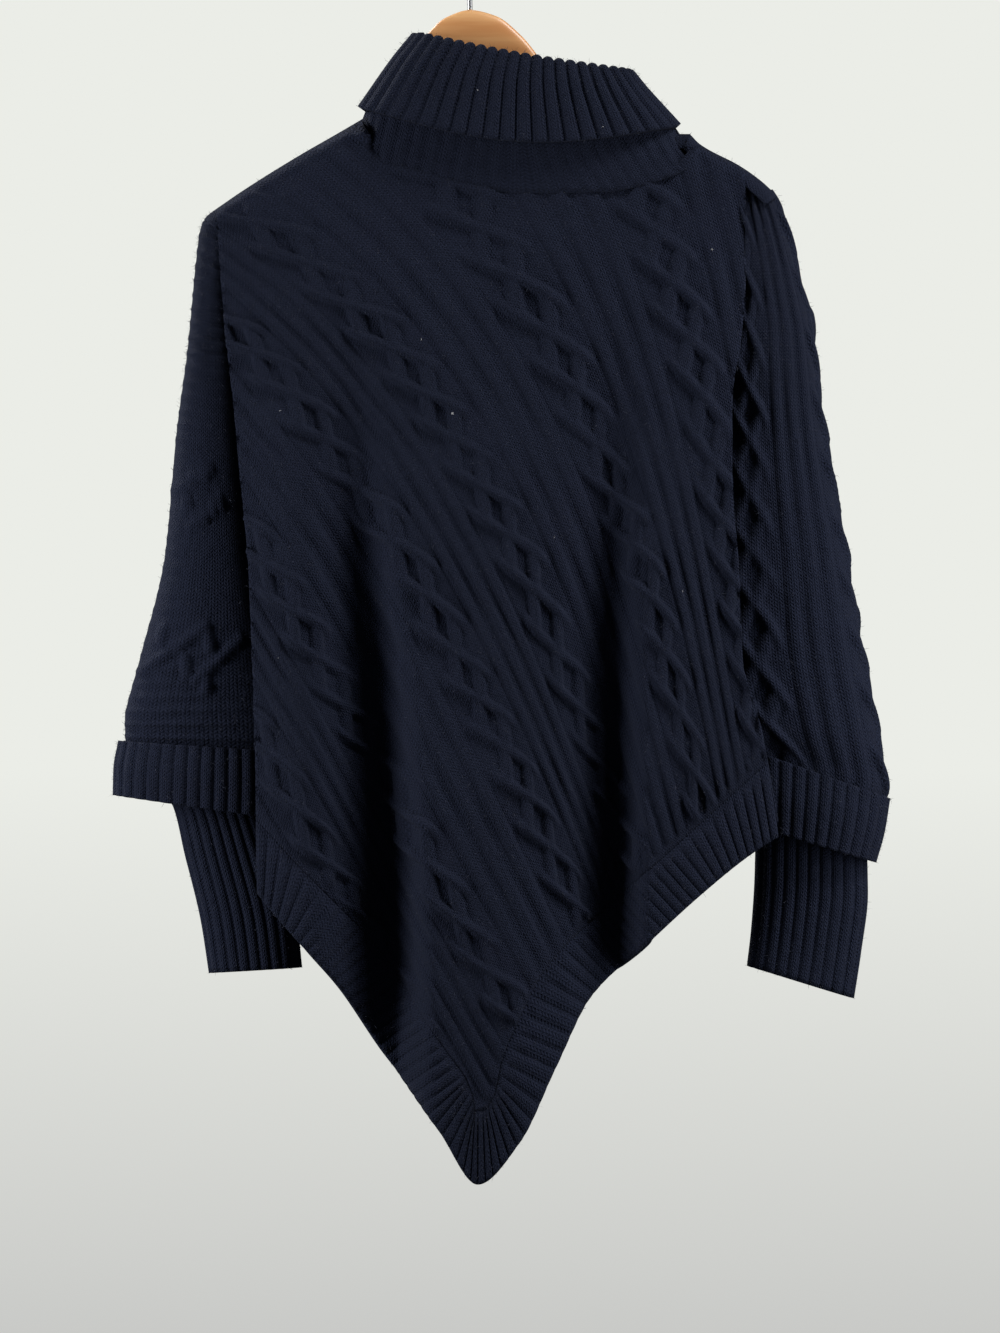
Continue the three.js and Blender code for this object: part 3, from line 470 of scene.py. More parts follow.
# How far the back stands behind it, before it comes forward at the sides to pass before the sleeves
def back_depth(x, h):
    turn = TURN * (x - BACK_WAVE_PHASE - BACK_WAVE_LEAN * h) / BACK_WAVE_LENGTH
    hung = read(BACK_DEPTH, "h", "depth", h) + read(BACK_DEPTH, "h", "wave", h) * np.cos(turn)
    below = np.maximum(h - shoulder_line(x) - STRIP_HEIGHT, 0)
    hung = np.minimum(hung, arch_reach(x, h) + TOP_RISE * below)
    before = 2 * WALL + SHEET_GAP - front_depth(x, h)
    left = read(BACK_TURN, "h", "left", h)
    right = read(BACK_TURN, "h", "right", h)
    inside = ease(left, left + SIDE_TURN, x) * (1 - ease(right - SIDE_TURN, right, x))
    return mix(hung, before, (1 - inside) * ease(UNDERARM[0], UNDERARM[1], h))


def panel_depth(x, h, behind):
    return back_depth(x, h) if behind else -front_depth(x, h)


def place(x, y, h):
    return np.stack(np.broadcast_arrays(x * MM, y * MM, -h * MM), axis=-1)


# Unit normals of a grid of points
def grid_normals(points, round_across=False):
    if round_across:
        wrapped = np.concatenate([points[:, -1:], points, points[:, :1]], axis=1)
        across = (wrapped[:, 2:] - wrapped[:, :-2]) / 2
    else:
        across = np.gradient(points, axis=1)
    down = np.gradient(points, axis=0)
    return unit(np.cross(down, across))


# Unit normals of a panel, turned away from the hanger
def panel_normals(points, behind):
    normals = grid_normals(points)
    flip = np.sign(normals[..., 1:2]) * (1.0 if behind else -1.0)
    return normals * np.where(flip == 0, 1, flip)


# Round height of a strand at a distance from its middle
def strand_height(gap, half):
    return np.clip(1 - (gap / half) ** 2, 0, 1) ** STRAND_SHAPE


# Strands that cross the cable on top, each an S that runs in and out along the cable's edges
def over_strands(side, along):
    near = (along - TWIST_MIDDLE + TWIST_PITCH / 2) % TWIST_PITCH - TWIST_PITCH / 2
    best = np.zeros_like(side)
    for shift in (-TWIST_PITCH, 0, TWIST_PITCH):
        t = near + shift
        way = TWIST_SLOPE * t / TWIST_REACH
        bend = 1 + np.abs(way) ** TWIST_TURN
        reach = way / bend ** (1 / TWIST_TURN)
        lean = TWIST_SLOPE / bend ** (1 + 1 / TWIST_TURN)
        gap = np.abs(side + TWIST_REACH * reach) / np.sqrt(1 + lean ** 2)
        dive = 1 - ease(DIVE_START, DIVE_END, np.abs(t))
        best = np.maximum(best, strand_height(gap, OVER_HALF) * dive)
    return best


# Short bars of the strands beneath, two in each gap
def under_strands(side, along):
    phase = (along - TWIST_MIDDLE + side / TWIST_SLOPE) / TWIST_PITCH
    part = phase - np.floor(phase) - 0.5
    best = np.zeros_like(side)
    for centre in (-UNDER_PLACE, UNDER_PLACE):
        gap = np.abs(side - UNDER_DRIFT * part - centre) * UNDER_SQUARE
        best = np.maximum(best, strand_height(gap, UNDER_HALF))
    return best * UNDER_SHARE


def wave(along, column, shape):
    length, shift = shape
    return np.sin(along / length + shift * column)


# Height of the knit over its wall: across in columns, along in millimetres down the wale
def knit_relief(across, along):
    column = np.floor(across + 0.5)
    high = 1 + HEIGHT_WAVER * wave(along, column, HEIGHT_WAVE) * wave(along, column, HEIGHT_SWELL)
    along = along + PITCH_WAVER * wave(along, column, PITCH_WAVE) + wave(along, column, PITCH_RIPPLE)
    off = across - column
    side = off * COLUMN + SIDE_WAVER * wave(along, column, SIDE_WAVE)
    edge = np.clip(1 - np.abs(off / CABLE_HALF) ** CABLE_EDGE, 0, 1)
    cable = np.maximum(over_strands(side, along), under_strands(side, along))
    cable = (CABLE_RELIEF * cable - PURL_DIP) * edge
    share = across - np.floor(across)
    ribs = np.zeros_like(share)
    for centre in RIB_PLACES:
        ribs = np.maximum(ribs, np.clip(1 - np.abs((share - centre) / RIB_HALF) ** RIB_SHAPE, 0, 1))
    between = RIB_RELIEF * ribs - PURL_DIP * (1 - ribs)
    return high * np.where(np.abs(off) < CABLE_HALF, cable, between)


# Even lines over a number of columns, closer over the cables
def knit_lines(columns):
    lines = []
    for column in range(columns):
        lines.append(column + np.linspace(-CABLE_HALF, CABLE_HALF, CABLE_LINES, endpoint=False))
        lines.append(column + np.linspace(CABLE_HALF, 1 - CABLE_HALF, RIB_LINES, endpoint=False))
    return np.append(np.concatenate(lines), columns - CABLE_HALF)


# Places of the body's knit lines: x and h for each distance along the wales and each line
def knit_places(lines):
    fine = np.arange(-WALES_UP, WALES_DOWN + 0.1, 1.0)
    zero = int(WALES_UP)
    xs = []
    hs = []
    for x, h, above, at, below in rows_of(WALES):
        t = np.clip((fine[:-1] + 0.5) / WALE_SPAN, *WALE_BEND)
        slope = np.radians(at + t * (below - above) / 2 + t * t * ((below + above) / 2 - at))
        run = np.concatenate([[0], np.cumsum(np.cos(slope))])
        fall = np.concatenate([[0], np.cumsum(np.sin(slope))])
        xs.append(x + run - run[zero])
        hs.append(h + fall - fall[zero])
    steps = 2 * round((WALES_UP + WALES_DOWN) / ALONG_STEP / 2)
    along = -WALES_UP + ALONG_STEP * np.arange(steps + 1)
    order = np.arange(len(xs), dtype=float)
    grids = []
    for values in (xs, hs):
        wales = np.stack([np.interp(along, fine, value) for value in values])
        grids.append(np.stack([curve(order, wales, np.full(len(along), line)) for line in lines], axis=1))
    return along, *grids


# The hem's edge at a share of one side, and the top of its strip there
def hem_cross(side, share, behind):
    share = np.asarray(share, float)
    end = read(BODY_SIDES, "h", side, HEM_END_H[side])
    x = mix(end, TIP_X, share)
    low_h = read(HEM, "x", "h", x) - (BACK_HEM_RAISE if behind else 0.0)
    slope = read(HEM, "x", "h", x + 1) - read(HEM, "x", "h", x - 1)
    length = np.hypot(2, slope)
    side_x = read(BODY_SIDES, "h", side, low_h - HEM_END_WIDTH)
    upright_x = np.where(share < 0.5, (side_x - end) * (1 - 2 * share), 0)
    turn = np.minimum(1, np.minimum(4 * share, 4 * (1 - share)))
    rise_x = mix(upright_x, HEM_WIDTH * slope / length, turn)
    rise_h = mix(-HEM_END_WIDTH, -2 * HEM_WIDTH / length, turn)
    return x, low_h, x + rise_x, low_h + rise_h


# Height of the neck seam on the back
def back_neck_line(x):
    share = (x - COLLAR["left"][0]) / (COLLAR["right"][0] - COLLAR["left"][0])
    level = mix(COLLAR["leftH"][0], COLLAR["rightH"][0], share)
    return level + NECK_BACK_DIP * np.sin(math.pi * np.clip(share, 0, 1)) ** NECK_BACK_SHAPE


# Height of the seam above the hem strips, at a place across the body
def hem_seam_line(x, behind):
    shares = np.linspace(0, 1, HEM_STEPS)
    _, _, left_x, left_h = hem_cross("left", shares, behind)
    _, _, right_x, right_h = hem_cross("right", shares, behind)
    seam_x = np.concatenate([left_x, right_x])
    order = np.argsort(seam_x)
    return np.interp(x, seam_x[order], np.concatenate([left_h, right_h])[order])


# Outline of a body panel between the shoulder seams, the neck seam and the hem strips
def panel_outline(behind):
    shares = np.linspace(0, 1, HEM_STEPS)
    _, _, left_x, left_h = hem_cross("left", shares, behind)
    _, _, right_x, right_h = hem_cross("right", shares[-2::-1], behind)
    left_top, right_top = (float(shoulder_line(x)) + PANEL_TOP for x in PANEL_SIDES)
    down = np.linspace(left_top, left_h[0] - HEM_GAP - SIDE_TUCK, 40)
    up = np.linspace(right_h[-1] - HEM_GAP - SIDE_TUCK, right_top, 40)
    over_right = np.linspace(*PANEL_TOP_RIGHT, 8)
    over_left = np.linspace(*PANEL_TOP_LEFT, 20)
    if behind:
        neck_x = np.linspace(*NECK_BACK, 40)
        neck_h = back_neck_line(neck_x) - NECK_TUCK
    else:
        neck_x = np.linspace(*NECK_FRONT, 60)
        neck_h = top_line(neck_x)
    x = np.concatenate([
        read(BODY_SIDES, "h", "left", down), left_x, right_x, read(BODY_SIDES, "h", "right", up),
        over_right, neck_x, over_left,
    ])
    h = np.concatenate([
        down, left_h - HEM_GAP, right_h - HEM_GAP, up, top_line(over_right), neck_h, top_line(over_left),
    ])
    return x, h


# Whether points lie inside a closed outline
def inside_outline(x, h, outline):
    edge_x, edge_h = outline
    inside = np.zeros(x.shape, bool)
    for ax, ah, bx, bh in zip(edge_x, edge_h, np.roll(edge_x, -1), np.roll(edge_h, -1)):
        if ah != bh:
            crosses = (ah > h) != (bh > h)
            inside ^= crosses & (x < ax + (h - ah) * (bx - ax) / (bh - ah))
    return inside


# The points of a straight line that lie nearest to given points
def nearest_on(x, h, ax, ah, bx, bh):
    length = max((bx - ax) ** 2 + (bh - ah) ** 2, 1e-9)
    t = np.clip(((x - ax) * (bx - ax) + (h - ah) * (bh - ah)) / length, 0, 1)
    return ax + t * (bx - ax), ah + t * (bh - ah)


# The nearest points of an outline
def onto_outline(x, h, outline):
    edge_x, edge_h = outline
    best = np.full(x.shape, np.inf)
    near_x = x.copy()
    near_h = h.copy()
    for ax, ah, bx, bh in zip(edge_x, edge_h, np.roll(edge_x, -1), np.roll(edge_h, -1)):
        px, ph = nearest_on(x, h, ax, ah, bx, bh)
        gap = (x - px) ** 2 + (h - ph) ** 2
        closer = gap < best
        best = np.where(closer, gap, best)
        near_x = np.where(closer, px, near_x)
        near_h = np.where(closer, ph, near_h)
    return near_x, near_h


# Surface points and normals on which fibres and lint may stand
fuzz_roots = []


def remember_fuzz(points, normals):
    fuzz_roots.append((points.reshape(-1, 3), normals.reshape(-1, 3)))


# Each square of a half-size grid as four squares of the whole one
def doubled(keep):
    return np.repeat(np.repeat(keep, 2, axis=0), 2, axis=1)


# Corners of a grid's squares, each a number of steps wide
def corners_of(index, step):
    return np.stack([
        index[:-step, :-step], index[step:, :-step], index[step:, step:], index[:-step, step:],
    ], axis=-1)


# Middles of the edges of squares that are two steps wide
def middles_of(index):
    return np.stack([
        index[1::2, 0:-1:2], index[2::2, 1::2], index[1::2, 2::2], index[0:-1:2, 1::2],
    ], axis=-1)


# Which edges of the kept wide squares have no square beyond them
def rim_edges(grid, keep):
    wide = corners_of(grid, 2)[::2, ::2][keep]
    starts = wide.ravel()
    ends = np.roll(wide, -1, axis=1).ravel()
    count = grid.max() + 1
    return ~np.isin(starts * count + ends, ends * count + starts)


# A shell's faces in the numbers of a grid: squares outside, wide squares inside and the rim between them.
# The inner numbers lie a step beyond the outer ones.
def shell_faces(grid, keep, rim, step):
    wide = corners_of(grid, 2)[::2, ::2][keep]
    start = wide.ravel()[rim]
    end = np.roll(wide, -1, axis=1).ravel()[rim]
    middle = middles_of(grid)[keep].ravel()[rim]
    edge = np.stack([end, middle, start, start + step, end + step], axis=1)
    return [corners_of(grid, 1)[doubled(keep)], wide[:, ::-1] + step, edge]


# A closed shell from a grid of outer points and one of inner points, with texture places in metres.
# The inner face uses every second line, and keep says which of its squares are cloth.
def shell(name, outer, inner, uv, look, keep=None, round_across=False):
    rows, columns = outer.shape[:2]
    index = np.arange(rows * columns).reshape(rows, columns)
    if round_across:
        index = np.concatenate([index, index[:, :1]], axis=1)
    spot = np.arange(index.size).reshape(index.shape)
    if keep is None:
        keep = np.ones(((index.shape[0] - 1) // 2, (index.shape[1] - 1) // 2), bool)
    rim = rim_edges(index, keep)
    faces = shell_faces(index, keep, rim, rows * columns)
    spots = np.concatenate([part.ravel() for part in shell_faces(spot, keep, rim, 0)])
    points = np.concatenate([outer.reshape(-1, 3), inner.reshape(-1, 3)])
    used = np.unique(np.concatenate([part.ravel() for part in faces]))
    renumber = np.zeros(len(points), np.int64)
    renumber[used] = np.arange(len(used))
    lists = [face for part in faces for face in renumber[part].tolist()]
    piece = new_piece(name + "_look", points[used], lists, look)
    layer = piece.data.uv_layers.new(name="UVMap")
    layer.data.foreach_set("uv", uv.reshape(-1, 2)[spots].astype(np.float32).ravel())
    smooth(piece)
    return piece


def new_piece(name, points, faces, look):
    mesh = bpy.data.meshes.new(name)
    mesh.from_pydata(points.tolist(), [], faces)
    mesh.materials.append(look)
    piece = bpy.data.objects.new(name, mesh)
    bpy.context.scene.collection.objects.link(piece)
    return piece


def smooth(piece):
    piece.data.polygons.foreach_set("use_smooth", np.ones(len(piece.data.polygons), bool))
    piece.data.update()


# Puts a piece in the place of its solid
def wear(piece, nodes):
    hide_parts(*nodes)
    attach(piece, "root")


# A cloth piece, put in the place of its solid
def wear_cloth(piece, name):
    wear(piece, [name])


# One body panel, front or back
def body_panel(name, behind, look):
    lines = knit_lines(len(WALES["x"]) - 1)
    along, x, h = knit_places(lines)
    if behind:
        x = read(BODY_SIDES, "h", "left", MIRROR_H) + read(BODY_SIDES, "h", "right", MIRROR_H) - x
    outline = panel_outline(behind)
    keep = inside_outline(x[1::2, 1::2], h[1::2, 1::2], outline)
    padded = np.pad(doubled(keep), 1)
    touching = padded[:-1, :-1].astype(int) + padded[1:, :-1] + padded[:-1, 1:] + padded[1:, 1:]
    rim = (touching > 0) & (touching < 4)
    x[rim], h[rim] = onto_outline(x[rim], h[rim], outline)
    base = place(x, panel_depth(x, h, behind), h)
    normals = panel_normals(base, behind)
    across, downs = np.broadcast_arrays(lines, along[:, None])
    ridge = np.where(in_neck(x), 2 * (h - top_line(x)), h - shoulder_line(x))
    above_hem = SEAM_SLOPE * (hem_seam_line(x, behind) - h)
    fade = ease(0, RIDGE_FADE, ridge) * ease(0, SEAM_FADE, above_hem)
    relief = mix(SEAM_STEP, knit_relief(across, downs), fade)
    outer = base + normals * (relief * MM)[..., None]
    inner = base - normals * (INNER_WALL * MM)
    uv = np.stack([across * COLUMN * MM, downs * MM], axis=-1)
    used = touching == 4
    remember_fuzz(outer[used], normals[used])
    piece = shell(name, outer, inner, uv, look, keep=keep)
    wear(piece, [name])


# Points of a flattened round section, at a depth inside its surface
def section_points(source, share, turn, wall):
    order = np.arange(len(source["inX"]), dtype=float)
    at = share * (len(order) - 1)
    row = {name: curve(order, source[name], at) for name in SECTION.split()}
    across = squared(np.cos(turn), 2 / SECTION_SQUARE)
    deep = squared(np.sin(turn), 2 / SECTION_SQUARE)
    half = np.hypot(row["outX"] - row["inX"], row["outH"] - row["inH"]) / 2
    shrink = across * (half - wall) / half
    x = mix(row["inX"], row["outX"], (1 + shrink) / 2)
    h = mix(row["inH"], row["outH"], (1 + shrink) / 2)
    y = -deep * (np.where(deep > 0, row["front"], row["back"]) - wall)
    return place(x, y, h)


# Turns round a table's middle section that lie at even distances, and the way round it
def even_turns(source, count):
    fine = np.linspace(0, TURN, 721)
    length = run_along(section_points(source, np.full(fine.shape, 0.5), fine, 0.0))
    return np.interp(np.arange(count) / count * length[-1], length, fine), length[-1] / MM


# A tube of cloth through a table's sections, raised by relief(down, around, share, base), where down and
# around are distances and share is the part of the way round. The squares for which hole is true stay open.
def cloth_tube(name, source, rows, columns, relief, look, hole=None):
    turns, around = even_turns(source, columns)
    shares, turn = np.broadcast_arrays(np.linspace(0, 1, rows)[:, None], turns)
    base = section_points(source, shares, turn, 0.0)
    inside = section_points(source, shares, turn, INNER_WALL)
    middle = section_points(source, np.linspace(0, 1, rows), np.full(rows, math.pi / 2), 0.0)
    down = run_along(middle) / MM
    across = np.arange(columns + 1) / columns
    raised = relief(down[:, None], across[None, :-1] * around, across[None, :-1], base)
    normals = grid_normals(base, round_across=True)
    normals = normals * np.sign((normals * unit(base - inside)).sum(axis=-1, keepdims=True))
    outer = base + normals * (raised * MM)[..., None]
    keep = None if hole is None else ~hole(base[1::2, 1::2])
    remember_fuzz(outer, normals)
    uv = grid_places(across * around * MM, down[:, None] * MM, (rows, columns + 1))
    return shell(name, outer, inside, uv, look, keep=keep, round_across=True)


# A test for the points that lie in a sleeve's armhole
def in_armhole(source):
    edge = float(read(source, "inH", "inX", (ARMHOLE_TOP + ARMHOLE_LOW) / 2))

    def test(points):
        x = points[..., 0] / MM
        y = points[..., 1] / MM
        h = -points[..., 2] / MM
        near = (np.abs(x - edge) < ARMHOLE_NEAR) & (np.abs(y) < ARMHOLE_DEPTH)
        return near & (h > ARMHOLE_TOP) & (h < ARMHOLE_LOW)

    return test


def sleeve(name, source, look, relief):
    piece = cloth_tube(name, source, SLEEVE_ROWS, SLEEVE_COLUMNS, relief, look, in_armhole(source))
    wear(piece, [name])


# Height of the crossed strands on the left sleeve at points in front
def sleeve_strands(base):
    x = base[..., 0] / MM
    h = -base[..., 2] / MM
    best = np.zeros(x.shape)
    for strand in rows_of(SLEEVE_STRANDS):
        near_x, near_h = nearest_on(x, h, *strand)
        best = np.maximum(best, strand_height(np.hypot(x - near_x, h - near_h), OVER_HALF))
    return STRAND_RELIEF * best * (base[..., 1] < 0)


# The left sleeve's wales run round it and the right one's run down it
def left_sleeve_relief(down, around, share, base):
    knit = RIB_RELIEF * np.clip(np.cos(TURN * down / SLEEVE_ROW), -0.3, 1) + 0 * around
    knit = np.maximum(knit, sleeve_strands(base))
    return knit * mix(EDGE_KNIT, 1, np.abs(np.sin(TURN * share)) ** EDGE_SHAPE)


def right_sleeve_relief(down, around, share, base):
    return knit_relief(SLEEVE_CABLES * share + 0 * down, down + 0 * share) * SLEEVE_RELIEF


# Height of even ribs, one to each whole number
def rib_wave(share):
    part = share - np.floor(share)
    return 1 - np.abs(2 * part - 1) ** WAVE_SHAPE


# A ribbed band or cuff
def rib_tube(name, source, ribs, look):
    def relief(down, around, share, base):
        return EDGE_RIB * rib_wave(share * ribs) + 0 * down

    piece = cloth_tube(name, source, BAND_ROWS, ribs * RIB_COLUMNS, relief, look)
    wear_cloth(piece, name)


# A ribbed strip along one side of the hem
def hem_strip(name, side, behind, look):
    first = hem_cross(side, 0.0, behind)
    last = hem_cross(side, 1.0, behind)
    ribs = round(math.hypot(float(last[0] - first[0]), float(last[1] - first[1])) / HEM_RIB)
    share = np.linspace(0, 1, ribs * RIB_COLUMNS + 1)
    low_x, low_h, top_x, top_h = hem_cross(side, share, behind)
    down = np.linspace(0, 1, HEM_ROWS)[:, None]
    x = mix(top_x, low_x, down)
    h = mix(top_h, low_h, down)
    base = place(x, panel_depth(x, h, behind), h)
    normals = panel_normals(base, behind)
    ends = np.minimum(1, (1 - down) * 12) ** 0.5
    relief = EDGE_RIB * rib_wave(share * ribs)[None] * mix(HEM_EDGE_RIB, 1, ends)
    relief = relief * ease(*HEM_RIB_RISE, down)
    outer = base + normals * (relief * MM)[..., None]
    inner = base - normals * (INNER_WALL * MM)
    uv = grid_places(share * ribs * HEM_RIB * MM, down * HEM_WIDTH * MM, x.shape)
    remember_fuzz(outer, normals)
    piece = shell(name, outer, inner, uv, look)
    wear_cloth(piece, name)


# Place on the neck line that the collar's edge follows, moved at its ends to lap over the panel's corners
def lapped(x):
    left, right = NECK_CORNERS
    from_left = 1 - ease(left, left + LAP_REACH, x)
    from_right = ease(right - LAP_REACH, right, x)
    return x + NECK_LAP * (from_left - from_right)


# The collar's middle surface at a turn round it: path 0 is the neck seam and path 5 the free edge
def collar_points(path, turn):
    order = np.arange(len(COLLAR["left"]), dtype=float)
    row = {name: curve(order, COLLAR[name], path) for name in COLLAR}
    power = 2 / mix(SEAM_SQUARE, COLLAR_SQUARE, np.clip(path, 0, 1))
    across = (1 + squared(np.cos(turn), power)) / 2
    deep = squared(np.sin(turn), power)
    x = mix(row["left"], row["right"], across)
    y = -deep * np.where(deep > 0, row["front"], row["back"])
    level = mix(row["leftH"], row["rightH"], across) + row["dip"] * np.sin(math.pi * across)
    neck_line = read(NECK, "x", "h", lapped(x))
    seam = np.where(deep > 0, neck_line, back_neck_line(x)) + NECK_DROP
    return place(x, y, mix(seam, level, np.clip(path, 0, 1)))


# One ribbed tube, folded over
def collar(look):
    rows = COLLAR_ROWS
    columns = COLLAR_RIBS * RIB_COLUMNS
    path = np.linspace(0, len(COLLAR["left"]) - 1, rows)[:, None]
    turn = np.linspace(0, TURN, 1441)
    length = run_along(collar_points(np.full(turn.shape, RIB_PATH), turn))
    turns = np.interp(np.arange(columns) / columns * length[-1], length, turn)
    middle = collar_points(*np.broadcast_arrays(path, turns))
    normals = -grid_normals(middle, round_across=True)
    share = np.arange(columns + 1) / columns
    down = run_along(middle[:, columns // 4])
    grown = ease(0, COLLAR_FADE * MM, down)[:, None]
    ribs = COLLAR_RIB * rib_wave(share[:-1] * COLLAR_RIBS)
    inner_ribs = EDGE_RIB * rib_wave(share[:-1] * COLLAR_RIBS + 0.5)
    outer = middle + normals * ((mix(COLLAR_SEAM_WALL, WALL / 2, grown) + ribs * grown) * MM)[..., None]
    inner = middle - normals * ((WALL / 2 + inner_ribs) * MM)[None, :, None]
    uv = grid_places(share * length[-1], down[:, None], (rows, columns + 1))
    remember_fuzz(outer, normals)
    piece = shell("collar", outer, inner, uv, look, round_across=True)
    wear_cloth(piece, "collar")


# The strip over one arm of the hanger, which joins front and back
def shoulder_strip(name, source, reach, look):
    rows = 2 * round(abs(reach[1] - reach[0]) / 5) + 1
    columns = STRIP_COLUMNS
    x = np.broadcast_to(np.linspace(reach[0], reach[1], rows)[:, None], (rows, columns))
    h = read(source, "x", "h", x)
    slope = (read(source, "x", "h", x + 1) - read(source, "x", "h", x - 1)) / 2
    length = np.hypot(slope, 1)
    turn = math.pi * (np.linspace(0, 1, columns) - 0.5)[None]

    def arch(wall):
        drop = wall + (STRIP_HEIGHT - wall) * (1 - np.cos(turn))
        y = np.broadcast_to(np.sin(turn) * (STRIP_HALF - wall), (rows, columns))
        return place(x - slope / length * drop, y, h + drop / length)

    outer = arch(0.0)
    inner = arch(INNER_WALL)
    uv = grid_places(np.linspace(0, STRIP_WIDE, columns)[None] * MM, np.abs(x - reach[0]) * MM, x.shape)
    remember_fuzz(outer, unit(outer - inner))
    piece = shell(name, outer, inner, uv, look)
    wear_cloth(piece, name)


# A piece from rings of points, closed at both ends
def ring_piece(name, points, look):
    rows, columns = points.shape[:2]
    index = np.arange(rows * columns).reshape(rows, columns)
    wrapped = np.concatenate([index, index[:, :1]], axis=1)
    faces = corners_of(wrapped, 1).reshape(-1, 4).tolist()
    faces.append(index[0].tolist())
    faces.append(index[-1][::-1].tolist())
    piece = new_piece(name + "_look", points.reshape(-1, 3), faces, look)
    smooth(piece)
    wear(piece, [name])


def hanger_wood(look):
    x = np.linspace(HANGER["x"][0], HANGER["x"][-1], HANGER_ROWS)[:, None]
    top = read(HANGER, "x", "top", x)
    low = read(HANGER, "x", "low", x)
    turn = np.linspace(0, TURN, HANGER_COLUMNS, endpoint=False)[None]
    high = squared(np.cos(turn), HANGER_SHAPE)
    deep = squared(np.sin(turn), HANGER_SHAPE)
    h = (top + low) / 2 - high * (low - top) / 2
    points = place(x + 0 * turn, deep * HANGER_THICK / 2, h)
    ring_piece("hanger_wood", points, look)


def hanger_hook(look):
    middle = HOOK_RADIUS - HOOK_WIRE
    knots = list(HOOK_STEM)
    for turn in HOOK_BEND:
        angle = math.radians(turn)
        knots.append((HOOK_RADIUS * math.cos(angle), middle - HOOK_RADIUS * math.sin(angle)))
    knots = np.array(knots)
    step = run_along(knots)
    at = np.linspace(0, step[-1], HOOK_ROWS)
    x = smooth_path(step, knots[:, 0], at)
    h = smooth_path(step, knots[:, 1], at)
    slope = unit(np.stack([np.gradient(x), np.gradient(h)], axis=1))
    turn = np.linspace(0, TURN, HOOK_COLUMNS, endpoint=False)[None]
    ring_x = x[:, None] - slope[:, 1:] * HOOK_WIRE * np.cos(turn)
    ring_h = h[:, None] + slope[:, :1] * HOOK_WIRE * np.cos(turn)
    points = place(ring_x, np.broadcast_to(HOOK_WIRE * np.sin(turn), ring_x.shape), ring_h)
    ring_piece("hanger_hook", points, look)


# Smooth curve through knots
def smooth_path(keys, values, at):
    tangent = np.gradient(values, keys)
    step = np.clip(np.searchsorted(keys, at, side="right") - 1, 0, len(keys) - 2)
    width = keys[step + 1] - keys[step]
    t = (at - keys[step]) / width
    return cubic(values[step], values[step + 1], tangent[step], tangent[step + 1], width, t)


# A new material, with its main shader's inputs set
def new_look(name, **inputs):
    look = bpy.data.materials.new(name)
    look.use_nodes = True
    nodes = look.node_tree.nodes
    set_inputs(nodes["Principled BSDF"], inputs)
    return look, nodes, look.node_tree.links


def set_inputs(node, inputs):
    for name, value in inputs.items():
        node.inputs[name.replace("_", " ")].default_value = value


def colour_ramp(nodes, low, high, start=0.0, end=1.0):
    ramp = nodes.new("ShaderNodeValToRGB")
    for element, position, colour in zip(ramp.color_ramp.elements, (start, end), (low, high)):
        element.position = position
        element.color = (*colour, 1)
    return ramp


# Noise at places given by a socket
def noise_node(nodes, links, places, scale, detail):
    noise = nodes.new("ShaderNodeTexNoise")
    set_inputs(noise, {"Scale": scale, "Detail": detail})
    links.new(places, noise.inputs["Vector"])
    return noise.outputs[0]


def math_node(nodes, links, operation, *inputs):
    node = nodes.new("ShaderNodeMath")
    node.operation = operation
    for socket, value in zip(node.inputs, inputs):
        if isinstance(value, (int, float)):
            socket.default_value = value
        else:
            links.new(value, socket)
    return node.outputs[0]


# Height of the knit stitches, from texture places in metres: slanted legs in rows
def stitch_height(nodes, links):
    def calc(operation, *inputs):
        return math_node(nodes, links, operation, *inputs)

    uv = nodes.new("ShaderNodeUVMap")
    split = nodes.new("ShaderNodeSeparateXYZ")
    links.new(uv.outputs[0], split.inputs[0])
    wide = calc("DIVIDE", split.outputs[0], STITCH_WIDE * MM)
    high = calc("DIVIDE", split.outputs[1], STITCH_HIGH * MM)
    off = calc("ABSOLUTE", calc("SUBTRACT", calc("FRACT", wide), 0.5))
    slant = calc("MULTIPLY_ADD", off, 1.5, high)
    row = calc("MULTIPLY", calc("COSINE", calc("MULTIPLY", slant, TURN)), 0.5)
    leg_off = calc("SUBTRACT", off, 0.25)
    leg = calc("MULTIPLY", leg_off, leg_off)
    return calc("MULTIPLY_ADD", leg, -12.0, row)


# Yarn: stitches, fluff and uneven lumps raise it, and painted shade darkens the hollows of its stitches and
# fluff
YARN_HOLLOW_SHADE = (0.0006, 0.0011, 0.0038)
YARN_HIGH = (0.0086, 0.0115, 0.0242)
FLUFF_SCALE = 900
FLUFF_HEIGHT = 2.2
LUMP_SCALE = 110
LUMP_HEIGHT = 4.0
YARN_BUMP = 0.0006


